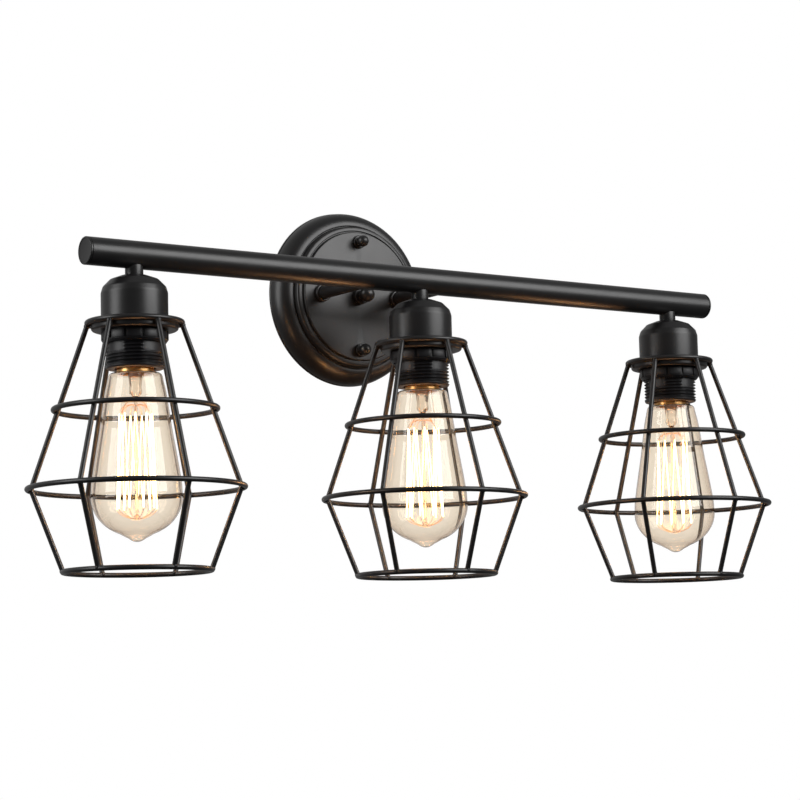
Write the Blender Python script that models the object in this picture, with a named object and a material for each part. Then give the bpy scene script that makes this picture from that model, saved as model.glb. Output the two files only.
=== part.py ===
"""Three-lamp vanity light bar with wire cage shades, each physical piece its own object.

Run with: blender --background --python part.py

Frame: origin on the wall at the middle of the canopy, +Z up, +X along the bar, -Y out from
the wall. Metres. Inside a lamp, heights are measured from the bar's centre line, down as
negative. On the canopy side, "out" is the distance from the wall.
"""

import math

import bmesh
import bpy
from mathutils import Matrix, Vector

MM = 0.001
GAP = 0.3 * MM

# Driving dimensions
BAR_OUT = 105.0 * MM
BAR_LENGTH = 568.0 * MM
BAR_RADIUS = 10.0 * MM
BAR_WALL = 1.2 * MM
LAMP_SPACING = 245.0 * MM

CANOPY_RADIUS = 69.0 * MM
CANOPY_FACE_RADIUS = 50.6 * MM
CANOPY_DEPTH = 23.5 * MM
CANOPY_WALL = 1.2 * MM

ARM_SPACING = 70.0 * MM
ARM_RADIUS = 5.0 * MM
ARM_BORE = 3.7 * MM
COLLAR_RADIUS = 6.8 * MM

SCREW_SPACING = 85.7 * MM
SCREW_RADIUS = 2.05 * MM
SCREW_HOLE = 2.5 * MM
FINIAL_ROD_RADIUS = 4.7 * MM
GROUND_SCREW_Z = -24.0 * MM
STRAP_WIDTH = 16.0 * MM
STRAP_LENGTH = 104.0 * MM
STRAP_THICK = 2.0 * MM

STEM_RADIUS = 6.45 * MM
STEM_BORE = 3.4 * MM
STEM_NECK = 4.8 * MM
CUP_RADIUS = 23.6 * MM
CUP_TOP = -14.9 * MM
CUP_WALL = 1.0 * MM

RING_WIRE = 1.85 * MM
CAGE_TOP_RADIUS = 33.3 * MM
CAGE_TOP_Z = -48.6 * MM
DISH_RADIUS = 30.6 * MM
DISH_BOTTOM_Z = -54.2 * MM
UPPER_RING_Z = -109.3 * MM
WIDE_RING_RADIUS = 75.5 * MM
WIDE_RING_Z = -164.5 * MM
LOW_RING_RADIUS = 51.5 * MM
LOW_RING_Z = -222.2 * MM
WIRE_COUNT = 6
WIRE_BITE = 2.6 * MM
RING_PHASE = math.pi / WIRE_COUNT + 0.03

BARREL_RADIUS = 20.6 * MM
BARREL_BORE = 14.6 * MM
RIM_Z = -81.1 * MM
NUT_RADIUS = 23.6 * MM
NUT_HEIGHT = 8.7 * MM
NUT_PADS = 12

BULB_RADIUS = 32.0 * MM
BULB_WIDE_Z = -170.5 * MM
BULB_FLOOR = 28.0 * MM
FILAMENT_TOP_Z = -111.0 * MM
FILAMENT_END_Z = -181.0 * MM
FILAMENT_RUNS = 14

LEAD_RADIUS = 1.2 * MM
LEAD_BEND = 3.6 * MM
LEAD_END_Z = -53.6 * MM
CONNECTOR_OUT = 11.0 * MM
CONNECTOR_Z = 24.0 * MM
CONNECTOR_X = 8.8 * MM

FINE = 24
COARSE = 16
HIDDEN = 12
SMALL_RING = 18
WIRE_SIDES = 5
SHARP_ANGLE = math.radians(35)

COLOURS = {
    "black_paint": ((0.020, 0.019, 0.019), 0.42, 0.35),
    "bakelite": ((0.018, 0.018, 0.020), 0.48, 0.0),
    "brass": ((0.78, 0.50, 0.20), 0.30, 1.0),
    "glass": ((0.95, 0.86, 0.70), 0.03, 0.0),
    "filament": ((1.0, 0.72, 0.32), 0.50, 0.0),
    "zinc": ((0.62, 0.62, 0.60), 0.38, 1.0),
    "insulator": ((0.05, 0.05, 0.06), 0.25, 0.0),
    "sleeve": ((0.80, 0.78, 0.72), 0.80, 0.0),
    "green": ((0.05, 0.32, 0.10), 0.35, 0.6),
    "connector": ((0.75, 0.30, 0.05), 0.45, 0.0),
}

OUT_OF_WALL = Matrix.Rotation(math.pi / 2, 4, "X")


def clear_scene():
    for obj in list(bpy.data.objects):
        bpy.data.objects.remove(obj, do_unlink=True)


def make_material(name):
    colour, roughness, metallic = COLOURS[name]
    mat = bpy.data.materials.new(name)
    mat.use_nodes = True
    shader = mat.node_tree.nodes["Principled BSDF"]
    shader.inputs["Base Color"].default_value = (*colour, 1.0)
    shader.inputs["Roughness"].default_value = roughness
    shader.inputs["Metallic"].default_value = metallic
    mat.diffuse_color = (*colour, 1.0)
    return mat


def add_object(name, bm, mat=None, place=Matrix.Identity(4)):
    """A mesh object from bm, cleaned, facing out and shaded smooth up to SHARP_ANGLE."""
    bmesh.ops.remove_doubles(bm, verts=bm.verts, dist=1e-6)
    bmesh.ops.recalc_face_normals(bm, faces=bm.faces)
    mesh = bpy.data.meshes.new(name)
    bm.to_mesh(mesh)
    bm.free()
    mesh.shade_smooth()
    mesh.set_sharp_from_angle(angle=SHARP_ANGLE)
    obj = bpy.data.objects.new(name, mesh)
    bpy.context.scene.collection.objects.link(obj)
    obj.matrix_world = place
    if mat:
        mesh.materials.append(mat)
    return obj


def as_cutter(obj):
    obj.hide_render = True
    obj.display_type = "WIRE"
    return obj


def cut(obj, cutter):
    step = obj.modifiers.new("cut", "BOOLEAN")
    step.operation = "DIFFERENCE"
    step.solver = "EXACT"
    step.object = as_cutter(cutter)


def turned(points, steps, phase=0.0):
    """A bmesh of the closed (radius, height) outline turned about Z, with no edge along the axis."""
    bm = bmesh.new()
    start = Matrix.Rotation(phase, 3, "Z")
    verts = [bm.verts.new(start @ Vector((r, 0.0, h))) for r, h in points]
    edges = []
    for i, vert in enumerate(verts):
        j = (i + 1) % len(verts)
        if points[i][0] > 0.0 or points[j][0] > 0.0:
            edges.append(bm.edges.new((vert, verts[j])))
    bmesh.ops.spin(bm, geom=verts + edges, cent=(0, 0, 0), axis=(0, 0, 1),
                   angle=2 * math.pi, steps=steps, use_merge=True)
    return bm


def profile(*points):
    """Outline points given in millimetres."""
    return [(r * MM, h * MM) for r, h in points]


def arc(centre_r, centre_h, radius_r, radius_h, start, end, steps):
    """Points on an ellipse, angles in degrees from the outward direction."""
    angles = [math.radians(start + (end - start) * i / steps) for i in range(steps + 1)]
    return [(centre_r + radius_r * math.cos(a), centre_h + radius_h * math.sin(a)) for a in angles]


def rod(radius, low, high, steps=COARSE):
    return turned([(0.0, low), (radius, low), (radius, high), (0.0, high)], steps)


def pipe(radius, bore, low, high, steps=COARSE):
    return turned([(bore, low), (radius, low), (radius, high), (bore, high)], steps)


def hexagon(across_flats, bore, low, high):
    """A hexagonal nut with a round bore of twelve sides."""
    bm = bmesh.new()
    sides = 12
    rings = []
    flat_r = across_flats / 2
    for radius_at in (lambda a: flat_r / math.cos(a % (math.pi / 3) - math.pi / 6), lambda a: bore):
        for height in (low, high):
            angles = [2 * math.pi * i / sides for i in range(sides)]
            rings.append([bm.verts.new((radius_at(a) * math.cos(a), radius_at(a) * math.sin(a), height))
                          for a in angles])
    low_out, high_out, low_in, high_in = rings
    for near, far in ((low_out, high_out), (low_in, high_in), (low_out, low_in), (high_out, high_in)):
        bridge(bm, near, far)
    return bm


def bridge(bm, near, far):
    """Quads between two closed loops of the same number of vertices."""
    for i in range(len(near)):
        j = (i + 1) % len(near)
        bm.faces.new((near[i], near[j], far[j], far[i]))


def box(low, high):
    bm = bmesh.new()
    size = [b - a for a, b in zip(low, high)]
    middle = [(a + b) / 2 for a, b in zip(low, high)]
    bmesh.ops.create_cube(bm, size=1.0, matrix=Matrix.Translation(middle) @ Matrix.Diagonal((*size, 1.0)))
    return bm


def lamp_places():
    return [Matrix.Translation((i * LAMP_SPACING, -BAR_OUT, 0.0)) for i in (-1, 0, 1)]


def on_canopy(x=0.0, z=0.0):
    """Local +Z runs out of the wall from this point of it."""
    return Matrix.Translation((x, 0.0, z)) @ OUT_OF_WALL


def swept(name, points, radius, mat, bevel_steps=1, place=Matrix.Identity(4)):
    """A round wire along the points, as a curve with filled caps."""
    curve = bpy.data.curves.new(name, "CURVE")
    curve.dimensions = "3D"
    curve.bevel_depth = radius
    curve.bevel_resolution = bevel_steps
    curve.use_fill_caps = True
    spline = curve.splines.new("POLY")
    spline.points.add(len(points) - 1)
    for spot, point in zip(spline.points, points):
        spot.co = (*point, 1.0)
    obj = bpy.data.objects.new(name, curve)
    bpy.context.scene.collection.objects.link(obj)
    obj.matrix_world = place
    curve.materials.append(mat)


def rounded(corners, radius, steps=3):
    """The corner points with each inner corner replaced by an arc of this radius."""
    corners = [Vector(c) for c in corners]
    points = [corners[0]]
    for before, corner, after in zip(corners, corners[1:], corners[2:]):
        into = (corner - before).normalized()
        away = (after - corner).normalized()
        turn = into.angle(away)
        reach = radius * math.tan(turn / 2)
        start = corner - into * reach
        centre = start + (away - into * into.dot(away)).normalized() * radius
        arm = start - centre
        axis = into.cross(away).normalized()
        points += [centre + Matrix.Rotation(turn * i / steps, 3, axis) @ arm for i in range(steps + 1)]
    return points + [corners[-1]]


def stud_places():
    return [on_canopy(z=side * SCREW_SPACING / 2) for side in (1, -1)]


def arm_places():
    return [on_canopy(x=side * ARM_SPACING / 2) for side in (-1, 1)]


def make_canopy(mats):
    """Pressed pan: rolled rim, bullnose, groove, small step, then the flat face with five holes."""
    centre_hole = FINIAL_ROD_RADIUS + GAP
    wall = CANOPY_WALL
    nose_r, nose_rise, nose_start = 57.2 * MM, 13.6 * MM, 3.0 * MM
    step_r, step_round = 55.6 * MM, 2.2 * MM
    groove_out = 16.4 * MM
    step_out = 19.0 * MM
    face_edge = CANOPY_FACE_RADIUS + 0.7 * MM
    outer = [(CANOPY_RADIUS, 0.0),
             *arc(nose_r, nose_start, CANOPY_RADIUS - nose_r, nose_rise, 0, 90, 5),
             (step_r + 0.6 * MM, groove_out),
             (step_r, groove_out + 0.8 * MM),
             *arc(step_r - step_round, step_out, step_round, step_round, 0, 90, 2),
             (face_edge + 0.2 * MM, step_out + step_round),
             (face_edge, CANOPY_DEPTH - 0.4 * MM),
             (CANOPY_FACE_RADIUS, CANOPY_DEPTH),
             (centre_hole, CANOPY_DEPTH)]
    inner = [(centre_hole, CANOPY_DEPTH - wall),
             (CANOPY_FACE_RADIUS - 0.5 * MM, CANOPY_DEPTH - wall),
             (CANOPY_FACE_RADIUS - 0.2 * MM, step_out + MM),
             (step_r - 1.6 * MM, step_out + 0.4 * MM),
             *arc(nose_r - wall, nose_start, CANOPY_RADIUS - nose_r, nose_rise - wall, 90, 0, 3),
             (CANOPY_RADIUS - wall, 0.0)]
    clear_of_holes = math.radians(5)
    canopy = add_object("canopy", turned(outer + inner, FINE + 4, clear_of_holes),
                        mats["black_paint"], on_canopy())
    through = (CANOPY_DEPTH - 5 * MM, CANOPY_DEPTH + 5 * MM)
    holes = [("canopy_stud_hole", SCREW_HOLE, stud_places()),
             ("canopy_arm_hole", ARM_RADIUS + GAP, arm_places())]
    for name, radius, places in holes:
        for i, place in enumerate(places):
            cut(canopy, add_object(f"{name}_{i}", rod(radius, *through, steps=HIDDEN), place=place))


def make_crossbar(mats):
    """Mounting strap against the wall, with the stud holes, the centre hole and a ground screw hole."""
    half_width, half_length = STRAP_WIDTH / 2, STRAP_LENGTH / 2
    bm = box((-half_width, -STRAP_THICK, -half_length), (half_width, 0.0, half_length))
    corners = [e for e in bm.edges if abs(e.verts[0].co.y - e.verts[1].co.y) > STRAP_THICK / 2]
    bmesh.ops.bevel(bm, geom=corners, offset=4 * MM, segments=3, affect="EDGES")
    strap = add_object("mounting_crossbar", bm, mats["zinc"])
    holes = [("crossbar_stud_hole_top", SCREW_HOLE, SCREW_SPACING / 2),
             ("crossbar_stud_hole_bottom", SCREW_HOLE, -SCREW_SPACING / 2),
             ("crossbar_centre_hole", FINIAL_ROD_RADIUS + GAP, 0.0),
             ("crossbar_ground_hole", SCREW_HOLE, GROUND_SCREW_Z)]
    for name, radius, z in holes:
        cut(strap, add_object(name, rod(radius, -3 * MM, 6 * MM, steps=HIDDEN), place=on_canopy(z=z)))


def make_fixings(mats):
    """Two studs with ball nuts, the centre rod with its finial, and the ground screw."""
    face = CANOPY_DEPTH + GAP
    stud_end = face + 4.5 * MM
    for label, place in zip(("top", "bottom"), stud_places()):
        add_object(f"canopy_stud_{label}", rod(SCREW_RADIUS, 0.0, stud_end, steps=HIDDEN),
                   mats["zinc"], place)
        nut = ball_nut(face, collar=(5.2 * MM, 2.0 * MM), ball=(4.4 * MM, 6.6 * MM),
                       bore=(SCREW_RADIUS + GAP, 5.0 * MM))
        add_object(f"ball_nut_{label}", nut, mats["black_paint"], place)
    rod_end = face + 3.2 * MM
    add_object("centre_rod", rod(FINIAL_ROD_RADIUS, 0.0, rod_end, steps=HIDDEN), mats["zinc"], on_canopy())
    finial = ball_nut(face, collar=(6.6 * MM, 4.2 * MM), ball=(5.6 * MM, 10.6 * MM),
                      bore=(FINIAL_ROD_RADIUS + GAP, 3.6 * MM))
    add_object("centre_finial", finial, mats["black_paint"], on_canopy())
    screw = profile((0, 0), (2.05, 0), (2.05, 2.3), (4.2, 2.3), (4.2, 3.4), (3.0, 4.6), (0, 4.8))
    add_object("ground_screw", turned(screw, HIDDEN), mats["green"], on_canopy(z=GROUND_SCREW_Z))


def ball_nut(base, collar, ball, bore):
    """A collar, a narrow neck and a ball on one axis, with a blind bore from the wall side.

    collar is its radius and height, ball its radius and its centre's height, bore its radius and depth.
    """
    neck = 3.3 * MM
    edge = 0.5 * MM
    collar_r, collar_top = collar[0], base + collar[1]
    ball_r, ball_centre = ball[0], base + ball[1]
    start = -math.degrees(math.acos(neck / ball_r))
    sphere = arc(0.0, ball_centre, ball_r, ball_r, start, 90, 5)
    sphere[-1] = (0.0, ball_centre + ball_r)
    outline = [(0.0, base + bore[1]), (bore[0], base + bore[1]), (bore[0], base), (collar_r, base),
               (collar_r, collar_top - edge), (collar_r - edge, collar_top), (neck, collar_top), *sphere]
    return turned(outline, HIDDEN)


def make_arms(mats):
    """Two tubes from inside the canopy to inside the bar, each with a collar and a nut."""
    inside = CANOPY_DEPTH - CANOPY_WALL - GAP
    end = BAR_OUT - BAR_RADIUS + BAR_WALL + 1.0 * MM
    outside = CANOPY_DEPTH + GAP
    collar_bore = ARM_RADIUS + GAP
    collar_end = outside + 3.0 * MM
    edge = 0.7 * MM
    collar = [(collar_bore, outside), (COLLAR_RADIUS, outside), (COLLAR_RADIUS, collar_end - edge),
              (COLLAR_RADIUS - edge, collar_end), (collar_bore, collar_end)]
    nut_thick = 5.0 * MM
    for label, place in zip(("left", "right"), arm_places()):
        tube = pipe(ARM_RADIUS, ARM_BORE, inside - nut_thick - 2 * MM, end)
        add_object(f"arm_{label}", tube, mats["black_paint"], place)
        add_object(f"arm_collar_{label}", turned(collar, COARSE), mats["black_paint"], place)
        add_object(f"arm_nut_{label}", hexagon(14 * MM, collar_bore, inside - nut_thick, inside),
                   mats["zinc"], place)


def make_bar(mats):
    """The tube along X, open below at each stem and behind at each arm, and its two end caps."""
    along = Matrix.Translation((0.0, -BAR_OUT, 0.0)) @ Matrix.Rotation(math.pi / 2, 4, "Y")
    half = BAR_LENGTH / 2
    bore = BAR_RADIUS - BAR_WALL
    plug = 1.6 * MM
    plug_depth = 6.0 * MM
    edge = 0.6 * MM
    bar = add_object("bar_tube", pipe(BAR_RADIUS, bore, -half + plug + GAP, half - plug - GAP, FINE),
                     mats["black_paint"], along)
    for i, place in enumerate(lamp_places()):
        hole = rod(STEM_RADIUS + GAP, -BAR_RADIUS - MM, 0.0, steps=COARSE)
        cut(bar, add_object(f"bar_stem_hole_{i}", hole, place=place))
    for i, place in enumerate(arm_places()):
        hole = rod(ARM_RADIUS + GAP, BAR_OUT - BAR_RADIUS - MM, BAR_OUT, steps=COARSE)
        cut(bar, add_object(f"bar_arm_hole_{i}", hole, place=place))
    cap = [(0.0, -plug_depth), (bore - GAP, -plug_depth), (bore - GAP, 0.0), (BAR_RADIUS, 0.0),
           (BAR_RADIUS, plug - edge), (BAR_RADIUS - edge, plug), (0.0, plug)]
    for label, side in (("left", -1), ("right", 1)):
        turn = along @ Matrix.Translation((0.0, 0.0, side * (half - plug)))
        if side < 0:
            turn = turn @ Matrix.Rotation(math.pi, 4, "X")
        add_object(f"bar_end_cap_{label}", turned(cap, FINE), mats["black_paint"], turn)


def stem():
    """Short tube from inside the bar to the cup, with a thinner neck down through the socket."""
    top = -BAR_RADIUS + BAR_WALL + 1.4 * MM
    end = -29.5 * MM
    foot = CUP_TOP + GAP
    return turned([(STEM_BORE, top), (STEM_BORE, end), (STEM_NECK, end), (STEM_NECK, foot),
                   (STEM_RADIUS, foot), (STEM_RADIUS, top)], COARSE)


def cup():
    """Domed cover: flat crown, sloped shoulder with soft edges, straight skirt, open below."""
    hole = STEM_NECK + GAP
    skirt = DISH_BOTTOM_Z + 1.5 * MM
    inside = CUP_RADIUS - CUP_WALL
    drops = profile((10.5, 0.2), (16.6, 2.9), (20.4, 6.0), (22.8, 8.8))
    shoulder = [(r, CUP_TOP - drop) for r, drop in drops]
    inner_shoulder = [(r, CUP_TOP - drop) for r, drop in profile((16.0, 3.9), (9.3, 1.0))]
    return turned([(hole, CUP_TOP), *shoulder, (CUP_RADIUS, CUP_TOP - 12.0 * MM), (CUP_RADIUS, skirt),
                   (inside, skirt), (inside, CUP_TOP - 12.4 * MM), *inner_shoulder,
                   (hole, CUP_TOP - CUP_WALL)], FINE)


def socket_body():
    """Moulded lampholder: collar on the stem, shoulders in the cup, threaded barrel to the rim."""
    hole = STEM_NECK + GAP
    top = CUP_TOP - CUP_WALL - GAP
    collar_r = 9.0 * MM
    floor = -55.0 * MM
    edge = 1.6 * MM
    return turned([(hole, top), (collar_r, top), (collar_r, -25.0 * MM), (19.5 * MM, -29.0 * MM),
                   (BARREL_RADIUS, -52.0 * MM), (BARREL_RADIUS, RIM_Z + edge),
                   (BARREL_RADIUS - 0.6 * MM, RIM_Z), (BARREL_BORE, RIM_Z),
                   (BARREL_BORE, floor), (hole, floor)], FINE - 4)


def screw_shell():
    return pipe(14.3 * MM, 13.6 * MM, RIM_Z + 1.5 * MM, -59.0 * MM)


def contact_tab():
    """Springy leaf: flat foot on the socket's floor, slope, then the flat that meets the bulb."""
    half, thick = 2.5 * MM, 0.6 * MM
    section = [(-half, 0.0), (half, 0.0), (half, -thick), (-half, -thick)]
    bm = bmesh.new()
    rows = [[bm.verts.new((x, y, z + dz)) for y, dz in section]
            for x, z in profile((-12.0, -55.3), (-6.5, -55.3), (-1.5, -57.2), (3.0, -57.2))]
    for near, far in zip(rows, rows[1:]):
        bridge(bm, near, far)
    bm.faces.new(rows[0])
    bm.faces.new(rows[-1])
    return bm


def ring_nut():
    """Castellated ring under the dish: raised grip pads with narrow slots, and a tapered lower lip."""
    top = DISH_BOTTOM_Z - GAP
    low = top - NUT_HEIGHT
    bore = BARREL_RADIUS + 0.4 * MM
    slot_share = 0.14
    slot_depth = 1.3 * MM
    section = [(bore, top, False),
               (NUT_RADIUS - 0.9 * MM, top, False),
               (NUT_RADIUS, top - 0.9 * MM, True),
               (NUT_RADIUS, low + 2.4 * MM, True),
               (NUT_RADIUS - 1.7 * MM, low, False),
               (bore, low, False)]
    bm = bmesh.new()
    columns = []
    for pad in range(NUT_PADS):
        for share, raised in ((slot_share, False), (slot_share, True), (0.57, True),
                              (1.0, True), (1.0, False)):
            angle = 2 * math.pi * (pad + share) / NUT_PADS
            column = []
            for radius, z, on_pad in section:
                r = radius - slot_depth if on_pad and not raised else radius
                column.append(bm.verts.new((r * math.cos(angle), r * math.sin(angle), z)))
            columns.append(column)
    for near, far in zip(columns, columns[1:] + columns[:1]):
        bridge(bm, near, far)
    bmesh.ops.remove_doubles(bm, verts=bm.verts, dist=1e-6)
    bmesh.ops.dissolve_degenerate(bm, edges=bm.edges, dist=1e-6)
    return bm


def cage_wire_points(angle):
    """One cage wire: under the top ring, out to the wide ring, and in to the low ring."""
    kink = WIDE_RING_RADIUS - WIRE_BITE
    spots = [(CAGE_TOP_RADIUS, CAGE_TOP_Z - 0.6 * MM), (kink, WIDE_RING_Z),
             (LOW_RING_RADIUS, LOW_RING_Z + 0.6 * MM)]
    return [Vector((r * math.cos(angle), r * math.sin(angle), z)) for r, z in spots]


def upper_ring_radius():
    """The upper ring lies outside the wires and bites into them a little."""
    slope = (WIDE_RING_RADIUS - WIRE_BITE - CAGE_TOP_RADIUS) / (CAGE_TOP_Z - WIDE_RING_Z)
    return CAGE_TOP_RADIUS + slope * (CAGE_TOP_Z - UPPER_RING_Z) + 3.3 * MM


def tube_ring(radius, height, steps=FINE):
    """A ring of round wire whose corners line up with the cage wires."""
    fit = RING_WIRE * 1.05
    angles = [2 * math.pi * (i + 0.1) / WIRE_SIDES for i in range(WIRE_SIDES)]
    outline = [(radius + fit * math.cos(a), height + fit * math.sin(a)) for a in angles]
    return turned(outline, steps, phase=RING_PHASE)


def straight_wire(points):
    """A round wire through points that lie in one upright plane."""
    bm = bmesh.new()
    fit = RING_WIRE * 1.05
    out = Vector((points[-1].x, points[-1].y, 0.0)).normalized()
    side = Vector((-out.y, out.x, 0.0))
    angles = [2 * math.pi * (k + 0.2) / WIRE_SIDES for k in range(WIRE_SIDES)]
    rows = []
    for i, point in enumerate(points):
        before = points[max(i - 1, 0)]
        after = points[min(i + 1, len(points) - 1)]
        across = side.cross(after - before).normalized()
        rows.append([bm.verts.new(point + fit * (math.cos(a) * across + math.sin(a) * side)) for a in angles])
    for near, far in zip(rows, rows[1:]):
        bridge(bm, near, far)
    bm.faces.new(rows[0])
    bm.faces.new(rows[-1])
    return bm


def dish():
    """Shallow pan that the socket passes through, its lip welded inside the top ring."""
    t = 1.2 * MM
    hole = BARREL_RADIUS + 0.8 * MM
    low = DISH_BOTTOM_Z
    lip = CAGE_TOP_RADIUS - 1.2 * MM
    return turned([(hole, low), (DISH_RADIUS - 1.0 * MM, low), (DISH_RADIUS, low + 1.0 * MM),
                   (DISH_RADIUS, CAGE_TOP_Z - 1.8 * MM), (lip, CAGE_TOP_Z - 0.5 * MM),
                   (lip, CAGE_TOP_Z + 0.5 * MM), (DISH_RADIUS - t, CAGE_TOP_Z - 1.2 * MM),
                   (DISH_RADIUS - t, low + t), (hole, low + t)], SMALL_RING, phase=RING_PHASE)


def make_cage(name, mat, place):
    """Dish, four rings and six wires welded into one cage."""
    cage = add_object(name, dish(), mat, place)
    weld = bpy.data.collections.new(f"{name}_weld")
    bpy.context.scene.collection.children.link(weld)
    pieces = [tube_ring(CAGE_TOP_RADIUS, CAGE_TOP_Z, SMALL_RING),
              tube_ring(upper_ring_radius(), UPPER_RING_Z),
              tube_ring(WIDE_RING_RADIUS, WIDE_RING_Z),
              tube_ring(LOW_RING_RADIUS, LOW_RING_Z)]
    for k in range(WIRE_COUNT):
        pieces.append(straight_wire(cage_wire_points(2 * math.pi * (k + 0.5) / WIRE_COUNT)))
    for i, bm in enumerate(pieces):
        piece = as_cutter(add_object(f"{name}_piece_{i}", bm, place=place))
        bpy.context.scene.collection.objects.unlink(piece)
        weld.objects.link(piece)
    weld.hide_render = True
    union = cage.modifiers.new("weld", "BOOLEAN")
    union.operation = "UNION"
    union.solver = "EXACT"
    union.operand_type = "COLLECTION"
    union.collection = weld


def glass_outline(inset):
    """The bulb's outline from its neck to its tip, moved in by the glass thickness."""
    shoulder = profile((12.1, -76.0), (12.1, -84.4), (16.2, -85.0), (18.4, -87.0))
    side = profile((19.6, -91.0), (21.6, -99.2), (25.2, -123.8), (29.9, -151.8), (31.4, -161.5))
    floor = arc(0.0, BULB_WIDE_Z, BULB_RADIUS - inset, BULB_FLOOR - inset, 0, -72, 4)
    nipple_z = BULB_WIDE_Z - BULB_FLOOR + inset
    points = [(r - inset, z) for r, z in shoulder + side]
    return [*points, *floor, (3.6 * MM, nipple_z - 0.9 * MM), (0.0, nipple_z - 3.4 * MM)]


def bulb_glass():
    outer = glass_outline(0.0)
    inner = glass_outline(0.8 * MM)
    plain_inner = inner[:4] + inner[4:-1:2] + inner[-1:]
    return turned(outer + plain_inner[::-1], COARSE)


def bulb_base():
    return turned(profile((13.0, -84.0), (13.0, -66.0), (10.6, -63.6), (10.0, -64.2), (12.4, -66.5),
                          (12.4, -84.0)), COARSE)


def bulb_insulator():
    """Moulded end of the base with the centre contact on it."""
    return turned(profile((0, -58.2), (4.6, -58.2), (4.8, -59.4), (5.6, -60.0), (9.6, -63.3), (9.6, -65.4),
                          (0, -65.4)), HIDDEN)


def bulb_mount():
    """Pressed glass stem with the long rod and the button that holds the filament supports."""
    steps = 10
    return turned(profile((0, -78.0), (6.0, -78.0), (5.4, -88.0), (4.0, -98.0), (1.3, -102.0), (1.3, -183.0),
                          (2.4, -184.2), (2.4, -186.4), (0, -187.0)), steps)


def filament_points():
    """Up and down runs round a basket, narrow above and wide below, with a small hook at each turn."""
    hook = 0.6 * MM
    top = (7.6 * MM, FILAMENT_TOP_Z)
    foot = (11.2 * MM, FILAMENT_END_Z)
    points = []
    for run in range(FILAMENT_RUNS):
        angle = 2 * math.pi * (run + 0.3) / FILAMENT_RUNS
        radius, z = top if run % 2 else foot
        points += [Vector((radius * math.cos(angle + side * hook / radius),
                           radius * math.sin(angle + side * hook / radius), z)) for side in (-1, 1)]
    return points


def make_leads(mats):
    """Each lamp's sleeved pair of wires: from a connector, through an arm, the bar and a stem.

    Two sleeves share the left arm, so they lie one above the other there.
    """
    mouth_z = CONNECTOR_Z - 0.4 * MM
    sleeves = [(-1, -1, -CONNECTOR_X - 1.8 * MM, 1.6 * MM, 12.0 * MM),
               (-1, 0, -CONNECTOR_X + 1.8 * MM, -1.6 * MM, 8.0 * MM),
               (1, 1, CONNECTOR_X, 0.0, 12.0 * MM)]
    for number, (arm, lamp, mouth_x, height, drop_z) in enumerate(sleeves, 1):
        arm_x = arm * ARM_SPACING / 2
        lamp_x = lamp * LAMP_SPACING
        corners = [(mouth_x, -CONNECTOR_OUT, mouth_z), (mouth_x, -CONNECTOR_OUT, drop_z),
                   (arm_x, -9 * MM, height), (arm_x, -BAR_OUT, height),
                   (lamp_x, -BAR_OUT, height), (lamp_x, -BAR_OUT, LEAD_END_Z)]
        swept(f"lamp_lead_{number}", rounded(corners, LEAD_BEND), LEAD_RADIUS, mats["sleeve"])
    shell = profile((0, 0), (5.2, 0), (5.2, 4), (3.2, 14), (2.2, 15.5), (0, 15.5))
    for label, x in (("hot", -CONNECTOR_X), ("neutral", CONNECTOR_X)):
        add_object(f"wire_connector_{label}", turned(shell, HIDDEN), mats["connector"],
                   Matrix.Translation((x, -CONNECTOR_OUT, CONNECTOR_Z)))


def make_lamp(number, mats, place):
    """Every piece of one lamp, from its stem to its bulb."""
    pieces = [("lamp_stem", stem, "black_paint"), ("socket_cup", cup, "black_paint"),
              ("socket_body", socket_body, "bakelite"), ("screw_shell", screw_shell, "brass"),
              ("contact_tab", contact_tab, "brass"), ("ring_nut", ring_nut, "bakelite"),
              ("bulb_glass", bulb_glass, "glass"), ("bulb_base", bulb_base, "brass"),
              ("bulb_insulator", bulb_insulator, "insulator"), ("bulb_mount", bulb_mount, "glass")]
    for name, build, mat in pieces:
        add_object(f"{name}_{number}", build(), mats[mat], place)
    make_cage(f"wire_cage_{number}", mats["black_paint"], place)
    swept(f"filament_{number}", filament_points(), 0.35 * MM, mats["filament"], 0, place)


def main():
    clear_scene()
    mats = {name: make_material(name) for name in COLOURS}
    make_canopy(mats)
    make_crossbar(mats)
    make_fixings(mats)
    make_arms(mats)
    make_bar(mats)
    make_leads(mats)
    for number, place in enumerate(lamp_places(), 1):
        make_lamp(number, mats, place)


main()
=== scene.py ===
"""Looks of a three-lamp vanity light bar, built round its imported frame.

The file is laid out as an add-on and runs as a script. Metres, +Z up, the wall at y = 0, the
bar along X. A lamp's pieces are made round the Z axis and then carried to each lamp's place.
"""

import math

import bmesh
import bpy
from bpy.props import FloatProperty, FloatVectorProperty, IntProperty, PointerProperty
from mathutils import Matrix, Vector


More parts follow.
